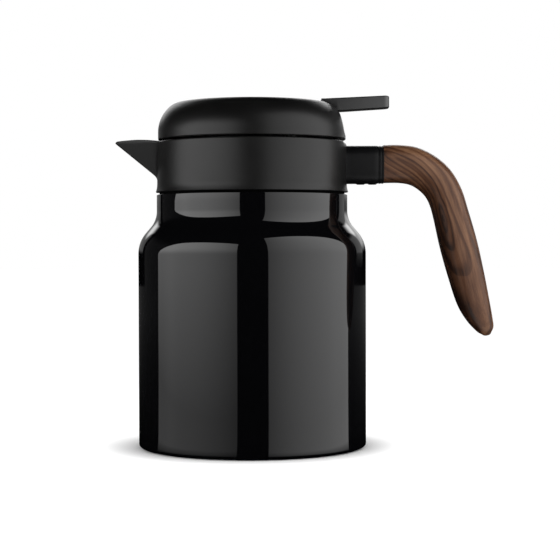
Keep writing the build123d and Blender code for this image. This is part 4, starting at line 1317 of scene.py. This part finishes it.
def addPanel(name, values):
    # Columns follow the rays that the body's side mirrors, from the inner to the outer edge
    radius, strength = vesselSizes["radius"], values["strength"]
    facing = radians(values["facing"])
    normal = Vector((sin(facing), -cos(facing), 0))
    columns, heights, reaches = panelStep["columns"], panelStep["rows"], panelStep["tableReaches"]
    wall, wallGlow = [[] for k in range(heights + 1)], [[] for k in range(heights + 1)]
    table, tableGlow = [[] for reach in reaches], [[] for reach in reaches]
    for k in range(columns + 1):
        share = k / columns
        angle = radians(values["inner"] + (values["outer"] - values["inner"]) * share)
        start = Vector((radius * sin(angle), -radius * cos(angle), 0))
        along = Vector((sin(2 * angle), -cos(2 * angle), 0))
        reach = (values["stand"] - start.dot(normal)) / along.dot(normal)
        across = values["innerLight"] + (1 - values["innerLight"]) * sin(pi / 2 * min(share / values["fullFrom"], 1))
        across *= 1 - (1 - values["outerLight"]) * smoothStep(share, panelStep["outerFrom"], 1)
        bend = max(share - values["roundFrom"], 0) / (1 - values["roundFrom"])
        top = values["top"] - values["round"] * (1 - sqrt(1 - bend * bend))
        for j in range(heights + 1):
            z = top * (j / heights) ** panelStep["crowd"]
            low = values["footLight"] + (values["lowLight"] - values["footLight"]) * min(z / panelStep["low"], 1)
            up = low + (1 - low) * smoothStep(z, panelStep["low"], panelStep["high"])
            wall[j].append(start + along * reach + Vector((0, 0, z)))
            wallGlow[j].append(strength * across * up)
        for j, part in enumerate(reaches):
            table[j].append(start + along * reach * part + Vector((0, 0, panelStep["tableHeight"])))
            tableGlow[j].append(strength * across * values["footLight"] * min(j / 2, 1))
    lit = glowMaterial(name + "Light")
    addSheet(name, wall, lit, wallGlow, False)
    addSheet(name + "Table", table, lit, tableGlow)


def around(angle, radius, z):
    # A point some degrees round from the front
    return Vector((radius * sin(radians(angle)), -radius * cos(radians(angle)), z))


def between(stops, place):
    # Straight lines through (place, value) pairs
    for (x0, y0), (x1, y1) in zip(stops, stops[1:]):
        if place <= x1:
            return y0 + (y1 - y0) * (place - x0) / (x1 - x0)
    return stops[-1][1]


def rearGlow(light, turn, z):
    across = smoothStep(turn, light["from"], light["from"] + light["soft"])
    across *= 1 - smoothStep(turn, light["to"] - light["soft"], light["to"])
    up = smoothStep(z, light["low"], light["low"] + light["rise"])
    up *= 1 - smoothStep(z, light["high"] - light["fall"], light["high"])
    return light["level"] * across * up


def evenly(start, end, steps):
    return [start + (end - start) * k / steps for k in range(steps + 1)]


def addRearLights():
    # A dark tent that glows faintly, and the sheet with the lights behind
    lit = glowMaterial("rearLight")
    wide, low, top = surround["wallRadius"], surround["wallFoot"], surround["wallTop"]
    outline = [(0.001, low, 0), (wide, low, 1), (wide, surround["wallGlowTo"], 1),
               (wide, surround["wallDarkFrom"], 0), (wide, top, 0), (0.001, top, 0)]
    turns = evenly(0, 360, surround["wallSteps"])
    addSheet("blackTent", [[around(turn, r, z) for turn in turns] for r, z, share in outline], lit,
             [[share * between(tentGlow, turn) for turn in turns] for r, z, share in outline])
    turns = evenly(rearSheet["from"], rearSheet["to"], rearSheet["columns"])
    levels = evenly(rearSheet["low"], rearSheet["high"], rearSheet["rows"])
    addSheet("rearSheet", [[around(turn, rearSheet["distance"], z) for turn in turns] for z in levels], lit,
             [[max(rearGlow(light, turn, z) for light in rearLights) for turn in turns] for z in levels])


addCamera()
addFloor()
addWorld()
for side, values in panels.items():
    addPanel(side + "Panel", values)
addRearLights()

scene.view_settings.view_transform = "Standard"

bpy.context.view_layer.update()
say("done")
